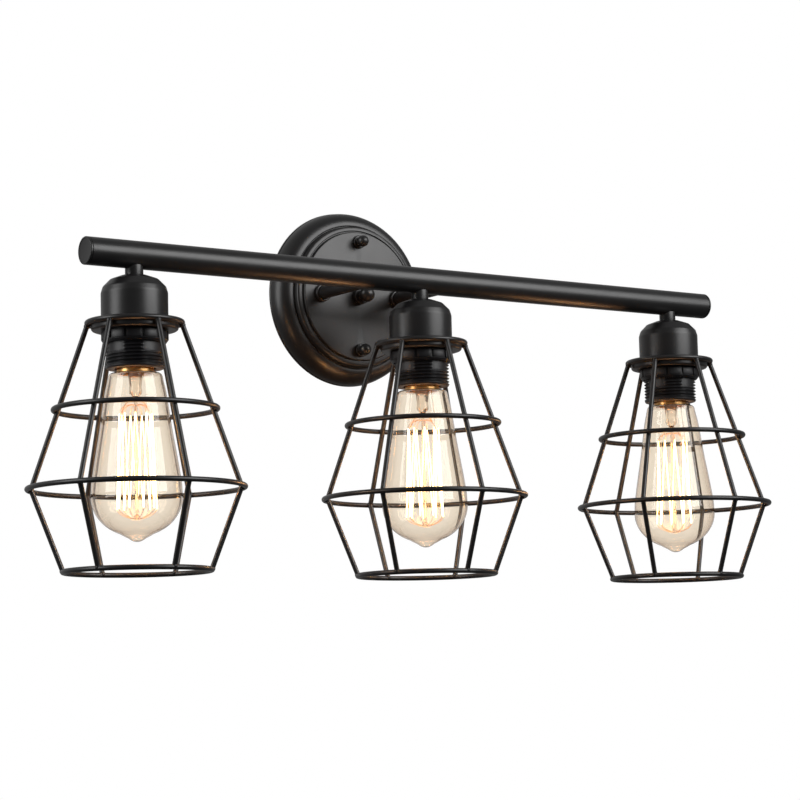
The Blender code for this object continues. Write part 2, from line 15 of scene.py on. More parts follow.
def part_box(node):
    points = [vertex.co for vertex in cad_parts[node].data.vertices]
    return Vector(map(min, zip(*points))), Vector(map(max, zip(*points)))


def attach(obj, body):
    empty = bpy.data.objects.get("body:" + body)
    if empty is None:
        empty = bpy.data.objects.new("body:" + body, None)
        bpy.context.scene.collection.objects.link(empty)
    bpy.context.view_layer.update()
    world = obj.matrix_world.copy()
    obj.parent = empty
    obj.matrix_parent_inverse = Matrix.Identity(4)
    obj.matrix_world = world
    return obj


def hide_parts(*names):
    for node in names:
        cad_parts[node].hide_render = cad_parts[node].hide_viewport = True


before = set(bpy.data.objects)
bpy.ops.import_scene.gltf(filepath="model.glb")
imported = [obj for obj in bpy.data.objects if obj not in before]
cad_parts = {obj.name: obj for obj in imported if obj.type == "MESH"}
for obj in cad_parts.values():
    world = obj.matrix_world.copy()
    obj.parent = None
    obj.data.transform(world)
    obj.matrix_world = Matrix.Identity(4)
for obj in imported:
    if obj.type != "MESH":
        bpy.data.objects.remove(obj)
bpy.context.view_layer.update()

bl_info = {
    "name": "Vanity light bar",
    "version": (1, 0, 0),
    "blender": (4, 5, 0),
    "location": "3D View > Sidebar > Light bar",
    "description": "Builds the visible pieces and finishes of a three-lamp wall light",
    "category": "Object",
}

MM = 0.001
LAMPS = (1, 2, 3)
SIDES = ("left", "right")
ENDS = ("top", "bottom")
SHARP = math.radians(38)

# Sides round a turned piece
VERY_FINE = 176
RING_FINE = 144
FINE = 128
CAP_FINE = 80
MEDIUM = 72
SMALL = 40


def half_width(node):
    low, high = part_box(node)
    return (high.x - low.x) / 2


def middle(node):
    low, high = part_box(node)
    return (low + high) / 2


def reach_out(node):
    """How far out of the wall the node starts and ends."""
    low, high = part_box(node)
    return -high.y, -low.y


def lamp_place(number):
    """Where a lamp's axis stands, at the height of the bar."""
    spot = middle(f"socket_cup_{number}")
    return Matrix.Translation((spot.x, spot.y, 0.0))


def out_of_wall(node):
    """Local +Z runs out of the wall, through the middle of the node."""
    spot = middle(node)
    return Matrix.Translation((spot.x, 0.0, spot.z)) @ Matrix.Rotation(math.pi / 2, 4, "X")


BAR_LOW, BAR_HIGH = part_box("bar_tube")
BAR_RADIUS = (BAR_HIGH.z - BAR_LOW.z) / 2
CAP_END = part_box("bar_end_cap_right")[1].x
CUP_LOW, CUP_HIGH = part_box("socket_cup_2")
CUP_RADIUS = half_width("socket_cup_2")
BODY_LOW, BODY_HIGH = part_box("socket_body_2")
BARREL_RADIUS = half_width("socket_body_2")
NUT_LOW, NUT_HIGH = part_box("ring_nut_2")
NUT_RADIUS = half_width("ring_nut_2")
CAGE_LOW, CAGE_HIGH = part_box("wire_cage_2")
GLASS_LOW, GLASS_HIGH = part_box("bulb_glass_2")
GLASS_RADIUS = half_width("bulb_glass_2")
BASE_LOW, BASE_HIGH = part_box("bulb_base_2")
FILAMENT_LOW, FILAMENT_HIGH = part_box("filament_2")
CANOPY_RADIUS = half_width("canopy")


# Settings

class PaintSettings(bpy.types.PropertyGroup):
    """Satin paint on the steel pieces."""
    colour: FloatVectorProperty(name="Colour", description="Base colour of the paint", subtype="COLOR",
                                min=0.0, max=1.0, default=(0.0115, 0.0112, 0.0115))
    roughness: FloatProperty(name="Roughness", description="Mean roughness of the satin finish",
                             subtype="FACTOR", min=0.0, max=1.0, default=0.36)
    grain: FloatProperty(name="Grain", description="Size of the orange-peel ripples in the paint",
                         unit="LENGTH", min=0.0002, default=0.9 * MM)


class LampholderSettings(bpy.types.PropertyGroup):
    """Outer thread and ring nut of the lampholder."""
    pitch: FloatProperty(name="Pitch", description="Pitch of the barrel's outer thread", unit="LENGTH",
                         min=0.5 * MM, default=2.5 * MM)
    depth: FloatProperty(name="Depth", description="Depth of the barrel's outer thread", unit="LENGTH",
                         min=0.0, default=1.8 * MM)
    sector_turn: FloatProperty(name="Sector turn", description="Where the first threaded sector is, from +X",
                               subtype="ANGLE", default=math.radians(-122.0))
    pads: IntProperty(name="Grip pads", description="Raised pads round the ring nut", min=3, default=12)
    pad_share: FloatProperty(name="Pad share", description="Share of the nut's edge that is pad",
                             subtype="FACTOR", min=0.1, max=0.98, default=0.86)


class CageSettings(bpy.types.PropertyGroup):
    """Wire cage: radii and heights of its rings."""
    wire: FloatProperty(name="Wire radius", description="Radius of the cage's round wire", unit="LENGTH",
                        default=1.85 * MM)
    wires: IntProperty(name="Wires", description="Number of bent wires", min=3, default=6)
    bite: FloatProperty(name="Bite", description="How far inside the rings the wires run", unit="LENGTH",
                        default=2.6 * MM)
    top_radius: FloatProperty(name="Top ring radius", description="Ring under the cup", unit="LENGTH",
                              default=33.3 * MM)
    wide_drop: FloatProperty(name="Wide ring height", description="Height of the widest ring", unit="LENGTH",
                             default=-164.5 * MM)
    upper_drop: FloatProperty(name="Upper ring height", description="Height of the ring above the widest",
                              unit="LENGTH", default=-109.3 * MM)
    low_radius: FloatProperty(name="Low ring radius", description="Ring round the open mouth",
                              unit="LENGTH", default=51.5 * MM)


class BulbSettings(bpy.types.PropertyGroup):
    """Filament bulb."""
    tint: FloatVectorProperty(name="Glass tint", description="Colour of the glass seen square on",
                              subtype="COLOR", min=0.0, max=1.0, default=(0.93, 0.87, 0.78))
    rim_tint: FloatVectorProperty(name="Rim tint", description="Colour of the glass seen edge on",
                                  subtype="COLOR", min=0.0, max=1.0, default=(0.46, 0.31, 0.22))
    runs: IntProperty(name="Filament runs", description="Upright runs of the filament", min=4, default=18)
    crown: FloatProperty(name="Filament crown", description="Radius of the filament's upper turns",
                         unit="LENGTH", min=0.0, default=11.5 * MM)
    hem: FloatProperty(name="Filament hem", description="Radius of the filament's lower turns",
                       unit="LENGTH", min=0.0, default=14.2 * MM)
    glow: FloatProperty(name="Glow", description="Emission strength of the filament", min=0.0, default=11.0)


class StageSettings(bpy.types.PropertyGroup):
    """Camera, lights and floor."""
    lens: FloatProperty(name="Lens", description="Focal length in millimetres on a 36 mm sensor",
                        min=10.0, default=115.9)
    eye: FloatVectorProperty(name="Eye", description="Place of the camera", subtype="XYZ", unit="LENGTH",
                             default=(-1.1112, -1.6755, -0.3206))
    heading: FloatProperty(name="Heading", description="Camera's turn from square on to the wall",
                           subtype="ANGLE", default=math.radians(34.78))
    pitch: FloatProperty(name="Pitch", description="Camera's upward tilt", subtype="ANGLE",
                         default=math.radians(6.82))
    roll: FloatProperty(name="Roll", description="Camera's roll", subtype="ANGLE",
                        default=math.radians(-1.38))
    floor: FloatProperty(name="Floor", description="Height of the floor", unit="LENGTH", default=-1.6)
    bulb_power: FloatProperty(name="Bulb light", description="Warm light that each bulb gives, in watts",
                              min=0.0, default=0.28)


class LightBarSettings(bpy.types.PropertyGroup):
    """All the light bar's settings."""
    paint: PointerProperty(type=PaintSettings)
    lampholder: PointerProperty(type=LampholderSettings)
    cage: PointerProperty(type=CageSettings)
    bulb: PointerProperty(type=BulbSettings)
    stage: PointerProperty(type=StageSettings)


# Nodes

class Number:
    """A number socket of a node tree; arithmetic on it adds Math nodes."""

    def __init__(self, graph, socket):
        self.graph = graph
        self.socket = socket

    def math(self, operation, *others):
        return self.graph.node("ShaderNodeMath", {"operation": operation}, dict(enumerate((self, *others))))

    def other(self, output):
        """Another output of the node that this socket is on."""
        return Number(self.graph, self.socket.node.outputs[output])

    def __add__(self, other):
        return self.math("ADD", other)

    def __sub__(self, other):
        return self.math("SUBTRACT", other)

    def __mul__(self, other):
        return self.math("MULTIPLY", other)

    def __truediv__(self, other):
        return self.math("DIVIDE", other)

    def __pow__(self, other):
        return self.math("POWER", other)

    def __rsub__(self, other):
        return self.graph.node("ShaderNodeMath", {"operation": "SUBTRACT"}, {0: other, 1: self})

    def __rtruediv__(self, other):
        return self.graph.node("ShaderNodeMath", {"operation": "DIVIDE"}, {0: other, 1: self})

    __radd__ = __add__
    __rmul__ = __mul__

    def clamped(self):
        return self.graph.node("ShaderNodeClamp", {}, {"Value": self})


class Graph:
    """A node tree with one method that adds any node."""

    def __init__(self, tree):
        self.tree = tree

    def node(self, kind, settings=None, inputs=None, output=0):
        made = self.tree.nodes.new(kind)
        for name, value in (settings or {}).items():
            setattr(made, name, value)
        for name, value in (inputs or {}).items():
            self.feed(made.inputs[name], value)
        return Number(self, made.outputs[output])

    def feed(self, socket, value):
        if isinstance(value, Number):
            self.tree.links.new(value.socket, socket)
        else:
            socket.default_value = value


class Finish(Graph):
    """A Principled material under construction. Fixed values go straight on the shader's sockets."""

    def __init__(self, name, colour, **fixed):
        self.material = bpy.data.materials.new(name)
        self.material.use_nodes = True
        super().__init__(self.material.node_tree)
        self.shader = self.tree.nodes["Principled BSDF"]
        self.shader.inputs["Base Color"].default_value = (*colour, 1.0)
        for socket, value in fixed.items():
            self.shader.inputs[socket.replace("_", " ").replace("Ior", "IOR")].default_value = value
        self.place = self.node("ShaderNodeTexCoord", output="Object")

    def noise(self, size, detail=3.0, stretch=(1.0, 1.0, 1.0)):
        """Cloudy noise with features of this size in metres."""
        scale = [share / size for share in stretch]
        spot = self.node("ShaderNodeMapping", {}, {"Vector": self.place, "Scale": scale})
        return self.node("ShaderNodeTexNoise", {}, {"Vector": spot, "Scale": 1.0, "Detail": detail})

    def mix(self, factor, first, second):
        """Colours blended by a number."""
        return self.node("ShaderNodeMix", {"data_type": "RGBA"},
                         {0: factor, 6: as_colour(first), 7: as_colour(second)}, output=2)

    def bump(self, height, distance, strength=1.0):
        return self.node("ShaderNodeBump", {}, {"Height": height, "Distance": distance, "Strength": strength})

    def set(self, **sockets):
        """What varies over the surface."""
        for socket, value in sockets.items():
            self.feed(self.shader.inputs[socket.replace("_", " ")], value)
        return self

    def vary(self, pattern, colours, roughness, grain=None, relief=0.0):
        """Colours mixed by the pattern; roughness and relief by the grain, or else by the pattern too."""
        grain = grain or pattern
        least, most = roughness
        self.set(Base_Color=self.mix(pattern, *colours), Roughness=least + grain * (most - least))
        return self.set(Normal=self.bump(grain, relief)) if relief else self


def as_colour(value):
    return value if isinstance(value, Number) else (*value, 1.0)


def scaled(colour, share):
    return tuple(min(1.0, c * share) for c in colour)


FINISHES = {}


def finish(name):
    """The named material, made once."""
    if name not in FINISHES:
        FINISHES[name] = FINISH_MAKERS[name](name, bpy.context.scene.light_bar).material
    return FINISHES[name]


def satin_paint(name, settings):
    """Black satin paint: faint ripple, slightly uneven sheen."""
    look = settings.paint
    paint = Finish(name, look.colour)
    ripple = paint.noise(look.grain, 2.0)
    patches = paint.noise(look.grain * 26, 3.0)
    shade = paint.mix(patches, scaled(look.colour, 0.82), scaled(look.colour, 1.22))
    return paint.set(Base_Color=shade, Roughness=look.roughness - 0.05 + patches * 0.10,
                     Normal=paint.bump(ripple, 0.010 * MM, 0.8))


def moulded_black(name, settings):
    """Dark moulded plastic of the lampholder, with a fine grain."""
    plastic = Finish(name, (0.013, 0.013, 0.015))
    return plastic.vary(plastic.noise(9 * MM, 2.0), ((0.006, 0.006, 0.007), (0.012, 0.012, 0.014)),
                        (0.36, 0.52), plastic.noise(0.45 * MM, 4.0), 0.012 * MM)


def brass(name, settings):
    """Spun brass: fine rings round the axis and a little tarnish."""
    metal = Finish(name, (0.83, 0.50, 0.20), Metallic=1.0)
    rings = metal.noise(0.5 * MM, 2.0, stretch=(0.12, 0.12, 1.0))
    return metal.vary(metal.noise(6 * MM, 5.0), ((0.86, 0.52, 0.20), (0.62, 0.31, 0.11)),
                      (0.20, 0.38), rings, 0.010 * MM)


def zinc_plate(name, settings):
    """Plated steel with a drawn grain and dull spangles."""
    metal = Finish(name, (0.60, 0.60, 0.58), Metallic=1.0)
    grain = metal.noise(0.6 * MM, 3.0, stretch=(1.0, 1.0, 0.08))
    return metal.vary(metal.noise(5 * MM, 1.0), ((0.50, 0.50, 0.50), (0.68, 0.68, 0.64)),
                      (0.28, 0.50), grain, 0.008 * MM)


def bulb_glass(name, settings):
    """Thin tinted glass, clear square on and brown at its edges."""
    look = settings.bulb
    glass = Finish(name, look.tint, Transmission_Weight=1.0, IOR=1.35, Roughness=0.0)
    edge = glass.node("ShaderNodeLayerWeight", {}, {"Blend": 0.5}, output="Facing")
    streak = glass.noise(24 * MM, 1.0, stretch=(1.0, 1.0, 0.2))
    share = (edge ** 2.2 * (0.85 + streak * 0.3)).clamped()
    return glass.set(Base_Color=glass.mix(share, look.tint, look.rim_tint))


def stem_glass(name, settings):
    """Pressed clear glass of the bulb's stem, cloudy in patches all over."""
    glass = Finish(name, (0.90, 0.80, 0.68), Transmission_Weight=1.0, IOR=1.48)
    return glass.vary(glass.noise(2.5 * MM, 4.0), ((0.80, 0.66, 0.54), (0.98, 0.93, 0.86)), (0.0, 0.16),
                      relief=0.25 * MM)


def hot_filament(name, settings):
    """Glowing wire, its glow colour mixed from deep orange and pale yellow by a fine noise."""
    wire = Finish(name, (0.9, 0.55, 0.2), Roughness=0.5, Emission_Strength=settings.bulb.glow)
    coil = wire.noise(1.2 * MM, 2.0)
    return wire.set(Emission_Color=wire.mix(coil, (1.0, 0.52, 0.14), (1.0, 0.80, 0.42)))


def support_wire(name, settings):
    """Thin nickel wires, coloured warm brown as painted light from the filament, varied at random."""
    wire = Finish(name, (0.55, 0.33, 0.20), Metallic=1.0)
    return wire.vary(wire.noise(3 * MM, 3.0), ((0.42, 0.20, 0.10), (0.80, 0.50, 0.30)), (0.25, 0.45))


def black_glass(name, settings):
    """Glossy insulator with faint swirls."""
    glass = Finish(name, (0.02, 0.02, 0.03))
    return glass.vary(glass.noise(3 * MM, 3.0), ((0.015, 0.015, 0.02), (0.04, 0.035, 0.05)), (0.10, 0.22))


def braided_sleeve(name, settings):
    """Woven glass-fibre sleeve: two crossing sets of threads."""
    cloth = Finish(name, (0.78, 0.76, 0.70))
    spots = cloth.node("ShaderNodeSeparateXYZ", {}, {"Vector": cloth.place})
    along = spots + spots.other("Z") + spots.other("Y")
    across = spots - spots.other("Z") - spots.other("Y")
    turn = 2 * math.pi / (0.7 * MM)
    weave = (along * turn).math("SINE") * (across * turn).math("SINE") * 0.5 + 0.5
    dirt = cloth.noise(8 * MM, 3.0)
    return cloth.set(Base_Color=cloth.mix(weave, (0.62, 0.60, 0.54), (0.84, 0.82, 0.76)),
                     Roughness=0.75 + dirt * 0.2, Normal=cloth.bump(weave, 0.12 * MM))


def green_screw(name, settings):
    """Green passivated screw with worn highlights."""
    metal = Finish(name, (0.05, 0.30, 0.10), Metallic=0.7)
    return metal.vary(metal.noise(1.2 * MM, 4.0), ((0.03, 0.22, 0.08), (0.12, 0.42, 0.18)), (0.25, 0.50))


def orange_plastic(name, settings):
    """Orange moulded connector."""
    plastic = Finish(name, (0.75, 0.26, 0.04))
    return plastic.vary(plastic.noise(0.8 * MM, 3.0), ((0.66, 0.21, 0.03), (0.82, 0.31, 0.06)), (0.38, 0.53),
                        relief=0.02 * MM)


FINISH_MAKERS = {
    "satin_black": satin_paint, "moulded_black": moulded_black, "brass": brass, "zinc_plate": zinc_plate,
    "bulb_glass": bulb_glass, "stem_glass": stem_glass, "hot_filament": hot_filament,
    "support_wire": support_wire, "black_glass": black_glass, "braided_sleeve": braided_sleeve,
    "green_screw": green_screw, "orange_plastic": orange_plastic,
}


# Mesh work

def soft(outline, steps=4):
    """The closed outline of (radius, height, fillet) points, with each corner rounded by its fillet."""
    points = []
    for i, (r, h, fillet) in enumerate(outline):
        corner = Vector((r, h))
        if fillet == 0.0:
            points.append(corner)
            continue
        before = Vector(outline[i - 1][:2]) - corner
        after = Vector(outline[(i + 1) % len(outline)][:2]) - corner
        half = before.angle(after) / 2
        reach = min(fillet / math.tan(half), before.length * 0.49, after.length * 0.49)
        start = corner + before.normalized() * reach
        end = corner + after.normalized() * reach
        centre = corner + (before.normalized() + after.normalized()).normalized() * reach / math.cos(half)
        for k in range(steps + 1):
            arm = (start - centre).lerp(end - centre, k / steps)
            points.append(centre + arm.normalized() * (start - centre).length)
    return [(p.x, p.y) for p in points]


def in_mm(*points):
    """Outline points (radius, height, fillet) given in millimetres, the fillet left out where it is 0."""
    return [(p[0] * MM, p[1] * MM, (p[2] if len(p) > 2 else 0.0) * MM) for p in points]


def points_mm(*points):
    """Plain points given in millimetres."""
    return [tuple(value * MM for value in point) for point in points]


def lathe(outline, steps=MEDIUM, place=Matrix.Identity(4)):
    """A bmesh of the closed (radius, height) outline turned about local Z."""
    bm = bmesh.new()
    rings = []
    for r, h in outline:
        count = 1 if r < 1e-9 else steps
        angles = [2 * math.pi * (i + 0.5) / steps for i in range(count)]
        rings.append([bm.verts.new(place @ Vector((r * math.cos(a), r * math.sin(a), h))) for a in angles])
    for near, far in zip(rings, rings[1:] + rings[:1]):
        for i in range(max(len(near), len(far)) if len(near) + len(far) > 2 else 0):
            j = (i + 1) % steps
            corners = [near[i % len(near)], near[j % len(near)], far[j % len(far)], far[i % len(far)]]
            bm.faces.new(list(dict.fromkeys(corners)))
    bmesh.ops.recalc_face_normals(bm, faces=bm.faces)
    return bm


def filled(name, bm):
    """A mesh of the bmesh, which is freed."""
    mesh = bpy.data.meshes.new(name)
    bm.to_mesh(mesh)
    bm.free()
    return mesh


def shaded(mesh, sharp):
    """The mesh, smooth except at edges bent more than this angle."""
    mesh.shade_smooth()
    mesh.set_sharp_from_angle(angle=sharp)
    return mesh


def as_mesh(name, bm, material, sharp=SHARP):
    """A smooth-shaded mesh of the bmesh in this finish."""
    mesh = filled(name, bm)
    mesh.materials.append(finish(material))
    return shaded(mesh, sharp)


def turned(name, outline, material, steps=MEDIUM, place=Matrix.Identity(4), sharp=SHARP):
    """A mesh of the closed (radius, height) outline turned about local Z, in this finish."""
    return as_mesh(name, lathe(outline, steps, place), material, sharp)


def linked(name, data):
    """A new object in the scene."""
    obj = bpy.data.objects.new(name, data)
    bpy.context.scene.collection.objects.link(obj)
    return obj


def add_piece(name, mesh, body, slot, *nodes):
    """The mesh as a piece that rides on the body and stands for the nodes. The slot is not used."""
    piece = linked(name, mesh)
    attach(piece, body)
    if nodes:
        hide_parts(*nodes)
    return piece


def add_three(name, mesh, body, slot, *nodes):
    """One piece in each lamp, from a mesh round the Z axis. A # stands for the lamp's number."""
    pieces = []
    for number in LAMPS:
        copy = mesh.copy()
        copy.transform(lamp_place(number))
        here = [text.replace("#", str(number)) for text in (name, body, slot, *nodes)]
        copy.name = here[0]
        pieces.append(add_piece(here[0], copy, *here[1:]))
    bpy.data.meshes.remove(mesh)
    return pieces


def repaint(node, material):
    """A CAD node keeps its shape and takes a finish."""
    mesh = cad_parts[node].data
    mesh.materials.clear()
    mesh.materials.append(finish(material))


def evaluated(obj, sharp=SHARP):
    """A plain mesh of what the object's modifiers make, and the object removed."""
    graph = bpy.context.evaluated_depsgraph_get()
    mesh = bpy.data.meshes.new_from_object(obj.evaluated_get(graph))
    mesh.name = obj.name
    bpy.data.objects.remove(obj)
    return shaded(mesh, sharp)


def with_holes(name, mesh, cutters):
    """The mesh with each cutter's bmesh taken out of it."""
    body = linked(name, mesh)
    tools = []
    for i, bm in enumerate(cutters):
        tools.append(linked(f"{name}_cutter_{i}", filled(f"{name}_cutter_{i}", bm)))
        step = body.modifiers.new("hole", "BOOLEAN")
        step.operation = "DIFFERENCE"
        step.solver = "EXACT"
        step.object = tools[-1]
    made = evaluated(body)
    for tool in tools:
        bpy.data.objects.remove(tool)
    return made


def rod(radius, low, high, place, steps=SMALL):
    return lathe([(0.0, low), (radius, low), (radius, high), (0.0, high)], steps, place)


def stacked(low, high, radius, step):
    """Points up one upright wall, close enough together to take a thread."""
    count = max(1, round((high - low) / step))
    return [(radius, low + (high - low) * i / count) for i in range(count + 1)]


# Geometry Nodes

def new_tree(name, inputs):
    """A Geometry Nodes tree with these named inputs, its graph and the inputs as sockets."""
    tree = bpy.data.node_groups.new(name, "GeometryNodeTree")
    tree.interface.new_socket("Geometry", in_out="INPUT", socket_type="NodeSocketGeometry")
    tree.interface.new_socket("Geometry", in_out="OUTPUT", socket_type="NodeSocketGeometry")
    for title, kind in inputs.items():
        tree.interface.new_socket(title, in_out="INPUT", socket_type=f"NodeSocket{kind}")
    graph = Graph(tree)
    start = tree.nodes.new("NodeGroupInput")
    return graph, {socket.name: Number(graph, socket) for socket in start.outputs if socket.name}


def close_tree(graph, geometry, material):
    """Realise, set the material and send to the output."""
    real = graph.node("GeometryNodeRealizeInstances", {}, {"Geometry": geometry})
    painted = graph.node("GeometryNodeSetMaterial", {}, {"Geometry": real, "Material": material})
    end = graph.tree.nodes.new("NodeGroupOutput")
    graph.feed(end.inputs["Geometry"], painted)
    return graph.tree


def run_tree(tree, obj, sharp=SHARP, **values):
    """The plain mesh that the tree makes from the object with these input values."""
    step = obj.modifiers.new(tree.name, "NODES")
    step.node_group = tree
    for item in tree.interface.items_tree:
        if item.in_out == "INPUT" and item.name.replace(" ", "_") in values:
            step[item.identifier] = values[item.name.replace(" ", "_")]
    return evaluated(obj, sharp)


def turned_copies(graph, geometry, count):
    """Copies of the geometry turned about Z, evenly spaced."""
    points = graph.node("GeometryNodePoints", {}, {"Count": count})
    index = graph.node("GeometryNodeInputIndex")
    turn = graph.node("ShaderNodeCombineXYZ", {}, {"Z": index * (2 * math.pi) / count})
    rotation = graph.node("FunctionNodeEulerToRotation", {}, {0: turn})
    return graph.node("GeometryNodeInstanceOnPoints", {},
                      {"Points": points, "Instance": geometry, "Rotation": rotation})


def as_tube(graph, curve, radius, sides):
    section = graph.node("GeometryNodeCurvePrimitiveCircle", {}, {"Resolution": sides, "Radius": radius})
    return graph.node("GeometryNodeCurveToMesh", {},
                      {"Curve": curve, "Profile Curve": section, "Fill Caps": True})


def thread_tree():
    """Cuts a helical thread into an upright round wall, all round or in four sectors.

    Above Full Below, only sectors counted from Sector Turn carry the thread, and the flats between
    them are cut down to most of its depth. The change to sectors and the thread's run-out at its
    ends are given in pitches.
    """
    graph, given = new_tree("Helical thread", {
        "Pitch": "Float", "Depth": "Float", "Low": "Float", "High": "Float", "Least Radius": "Float",
        "Full Below": "Float", "Sector Turn": "Float", "Material": "Material"})
    place = graph.node("GeometryNodeInputPosition")
    x = graph.node("ShaderNodeSeparateXYZ", {}, {"Vector": place})
    y, z = x.other("Y"), x.other("Z")
    radius = (x * x + y * y).math("SQRT")
    angle = y.math("ARCTAN2", x)
    phase = z / given["Pitch"] - angle / (2 * math.pi)
    groove = 0.5 - (phase * (2 * math.pi)).math("COSINE") * 0.5
    sectors, sector_edge, edge_slope, flat_depth = 4.0, 0.30, 5.0, 0.75
    change, run_out = 1.2, 0.5
    above = ((z - given["Full Below"]) / (given["Pitch"] * change)).clamped()
    lobes = ((angle - given["Sector Turn"]) * sectors).math("COSINE")
    in_sector = ((lobes - sector_edge) * edge_slope + 0.5).clamped()
    threaded = 1.0 - above * (1.0 - in_sector)
    cut = groove * threaded + (1.0 - threaded) * flat_depth
    foot = ((z - given["Low"]) / given["Pitch"] * (1.0 / run_out)).clamped()
    head = ((given["High"] - z) / given["Pitch"] * (1.0 / run_out)).clamped()
    on_wall = radius.math("GREATER_THAN", given["Least Radius"])
    share = 1.0 - cut * (foot * head) * on_wall * given["Depth"] / radius
    moved = graph.node("ShaderNodeCombineXYZ", {}, {"X": x * share, "Y": y * share, "Z": z})
    made = graph.node("GeometryNodeSetPosition", {}, {"Geometry": given["Geometry"], "Position": moved})
    return close_tree(graph, made, given["Material"])


def threaded(name, bm, material, pitch, depth, low, high, least_radius, full_below=1.0, sector_turn=0.0):
    """The lathed bmesh with a thread cut into its outer wall."""
    return run_tree(thread_tree(), linked(name, as_mesh(name, bm, material)), math.radians(50),
                    Pitch=pitch, Depth=depth, Low=low, High=high, Least_Radius=least_radius,
                    Full_Below=full_below, Sector_Turn=sector_turn, Material=finish(material))


def repeat_tree():
    """Adds turned copies of another object to the piece."""
    graph, given = new_tree("Turned copies", {"Copy": "Object", "Count": "Int", "Material": "Material"})
    source = graph.node("GeometryNodeObjectInfo", {}, {"Object": given["Copy"]}, output="Geometry")
    copies = turned_copies(graph, source, given["Count"])
    joined = graph.node("GeometryNodeJoinGeometry")
    graph.feed(joined.socket.node.inputs[0], given["Geometry"])
    graph.feed(joined.socket.node.inputs[0], copies)
    return close_tree(graph, joined, given["Material"])


def with_copies(name, mesh, copy, count, material):
    """The mesh and a number of copies of another mesh turned about Z."""
    source = linked(f"{name}_copy", copy)
    made = run_tree(repeat_tree(), linked(name, mesh), Copy=source, Count=count, Material=finish(material))
    bpy.data.objects.remove(source)
    return made


def cage_tree():
    """Rings and bent wires of round rod, with a weld at each crossing."""
    rings = ("Top", "Upper", "Wide", "Low")
    sizes = {f"{ring} {what}": "Float" for ring in rings for what in ("Radius", "Height")}
    graph, given = new_tree("Wire cage", {
        "Bent Wire": "Object", "Weld Spots": "Object", "Wires": "Int", "Wire Radius": "Float",
        **sizes, "Material": "Material"})
    sides, bead_size = 18, 1.22
    parts = []
    for ring in rings:
        circle = graph.node("GeometryNodeCurvePrimitiveCircle", {},
                            {"Resolution": RING_FINE, "Radius": given[f"{ring} Radius"]})
        lift = graph.node("ShaderNodeCombineXYZ", {}, {"Z": given[f"{ring} Height"]})
        raised = graph.node("GeometryNodeTransform", {}, {"Geometry": circle, "Translation": lift})
        parts.append(as_tube(graph, raised, given["Wire Radius"], sides))
    line = graph.node("GeometryNodeObjectInfo", {}, {"Object": given["Bent Wire"]}, output="Geometry")
    curve = graph.node("GeometryNodeMeshToCurve", {}, {"Mesh": line})
    parts.append(turned_copies(graph, as_tube(graph, curve, given["Wire Radius"], sides), given["Wires"]))
    spots = graph.node("GeometryNodeObjectInfo", {}, {"Object": given["Weld Spots"]}, output="Geometry")
    bead = graph.node("GeometryNodeMeshIcoSphere", {},
                      {"Radius": given["Wire Radius"] * bead_size, "Subdivisions": 3})
    beads = graph.node("GeometryNodeInstanceOnPoints", {}, {"Points": spots, "Instance": bead})
    parts.append(turned_copies(graph, beads, given["Wires"]))
    joined = graph.node("GeometryNodeJoinGeometry")
    for part in [given["Geometry"], *parts]:
        graph.feed(joined.socket.node.inputs[0], part)
    return close_tree(graph, joined, given["Material"])


def zigzag_tree():
    """A wire that runs up and down round a basket, its upper turns on one circle, its lower on another."""
    graph, given = new_tree("Zigzag filament", {
        "Runs": "Int", "Top Radius": "Float", "Foot Radius": "Float", "Top": "Float", "Foot": "Float",
        "Wire Radius": "Float", "Bend": "Float", "Material": "Material"})
    circle = graph.node("GeometryNodeMeshCircle", {}, {"Vertices": given["Runs"], "Radius": 1.0})
    odd = graph.node("GeometryNodeInputIndex").math("MODULO", 2.0)
    x = graph.node("ShaderNodeSeparateXYZ", {}, {"Vector": graph.node("GeometryNodeInputPosition")})
    radius = given["Foot Radius"] * odd + given["Top Radius"] * (1.0 - odd)
    height = given["Foot"] * odd + given["Top"] * (1.0 - odd)
    spot = graph.node("ShaderNodeCombineXYZ", {}, {"X": x * radius, "Y": x.other("Y") * radius, "Z": height})
    bent = graph.node("GeometryNodeSetPosition", {}, {"Geometry": circle, "Position": spot})
    curve = graph.node("GeometryNodeMeshToCurve", {}, {"Mesh": bent})
    eased = graph.node("GeometryNodeFilletCurve", {}, {"Curve": curve, "Radius": given["Bend"]})
    tubed = as_tube(graph, eased, given["Wire Radius"], sides=8)
    return close_tree(graph, tubed, given["Material"])


def polyline(name, points):
    """A mesh of edges through the points."""
    mesh = bpy.data.meshes.new(name)
    mesh.from_pydata(points, [(i, i + 1) for i in range(len(points) - 1)], [])
    return mesh


def tube(points, radius, sides=10):
    """A bmesh of round wire through points in space, its ends closed."""
    bm = bmesh.new()
    rows = []
    side = Vector((0.0, 0.0, 1.0))
    for i, point in enumerate(points):
        run = (points[min(i + 1, len(points) - 1)] - points[max(i - 1, 0)]).normalized()
        across = run.cross(side if abs(run.dot(side)) < 0.9 else Vector((1.0, 0.0, 0.0))).normalized()
        other = run.cross(across)
        angles = [2 * math.pi * k / sides for k in range(sides)]
        rows.append([bm.verts.new(point + radius * (math.cos(a) * across + math.sin(a) * other))
                     for a in angles])
    skin(bm, rows)
    return bm


def skin(bm, rows):
    """Faces from each row of vertices to the next, and one over each end."""
    for near, far in zip(rows, rows[1:]):
        for k in range(len(near)):
            m = (k + 1) % len(near)
            bm.faces.new((near[k], near[m], far[m], far[k]))
    bm.faces.new(rows[0])
    bm.faces.new(rows[-1])
    bmesh.ops.recalc_face_normals(bm, faces=bm.faces)


def merged(parts):
    """Several bmeshes as one."""
    whole = bmesh.new()
    for part in parts:
        mesh = filled("part", part)
        whole.from_mesh(mesh)
        bpy.data.meshes.remove(mesh)
    return whole


# Operators

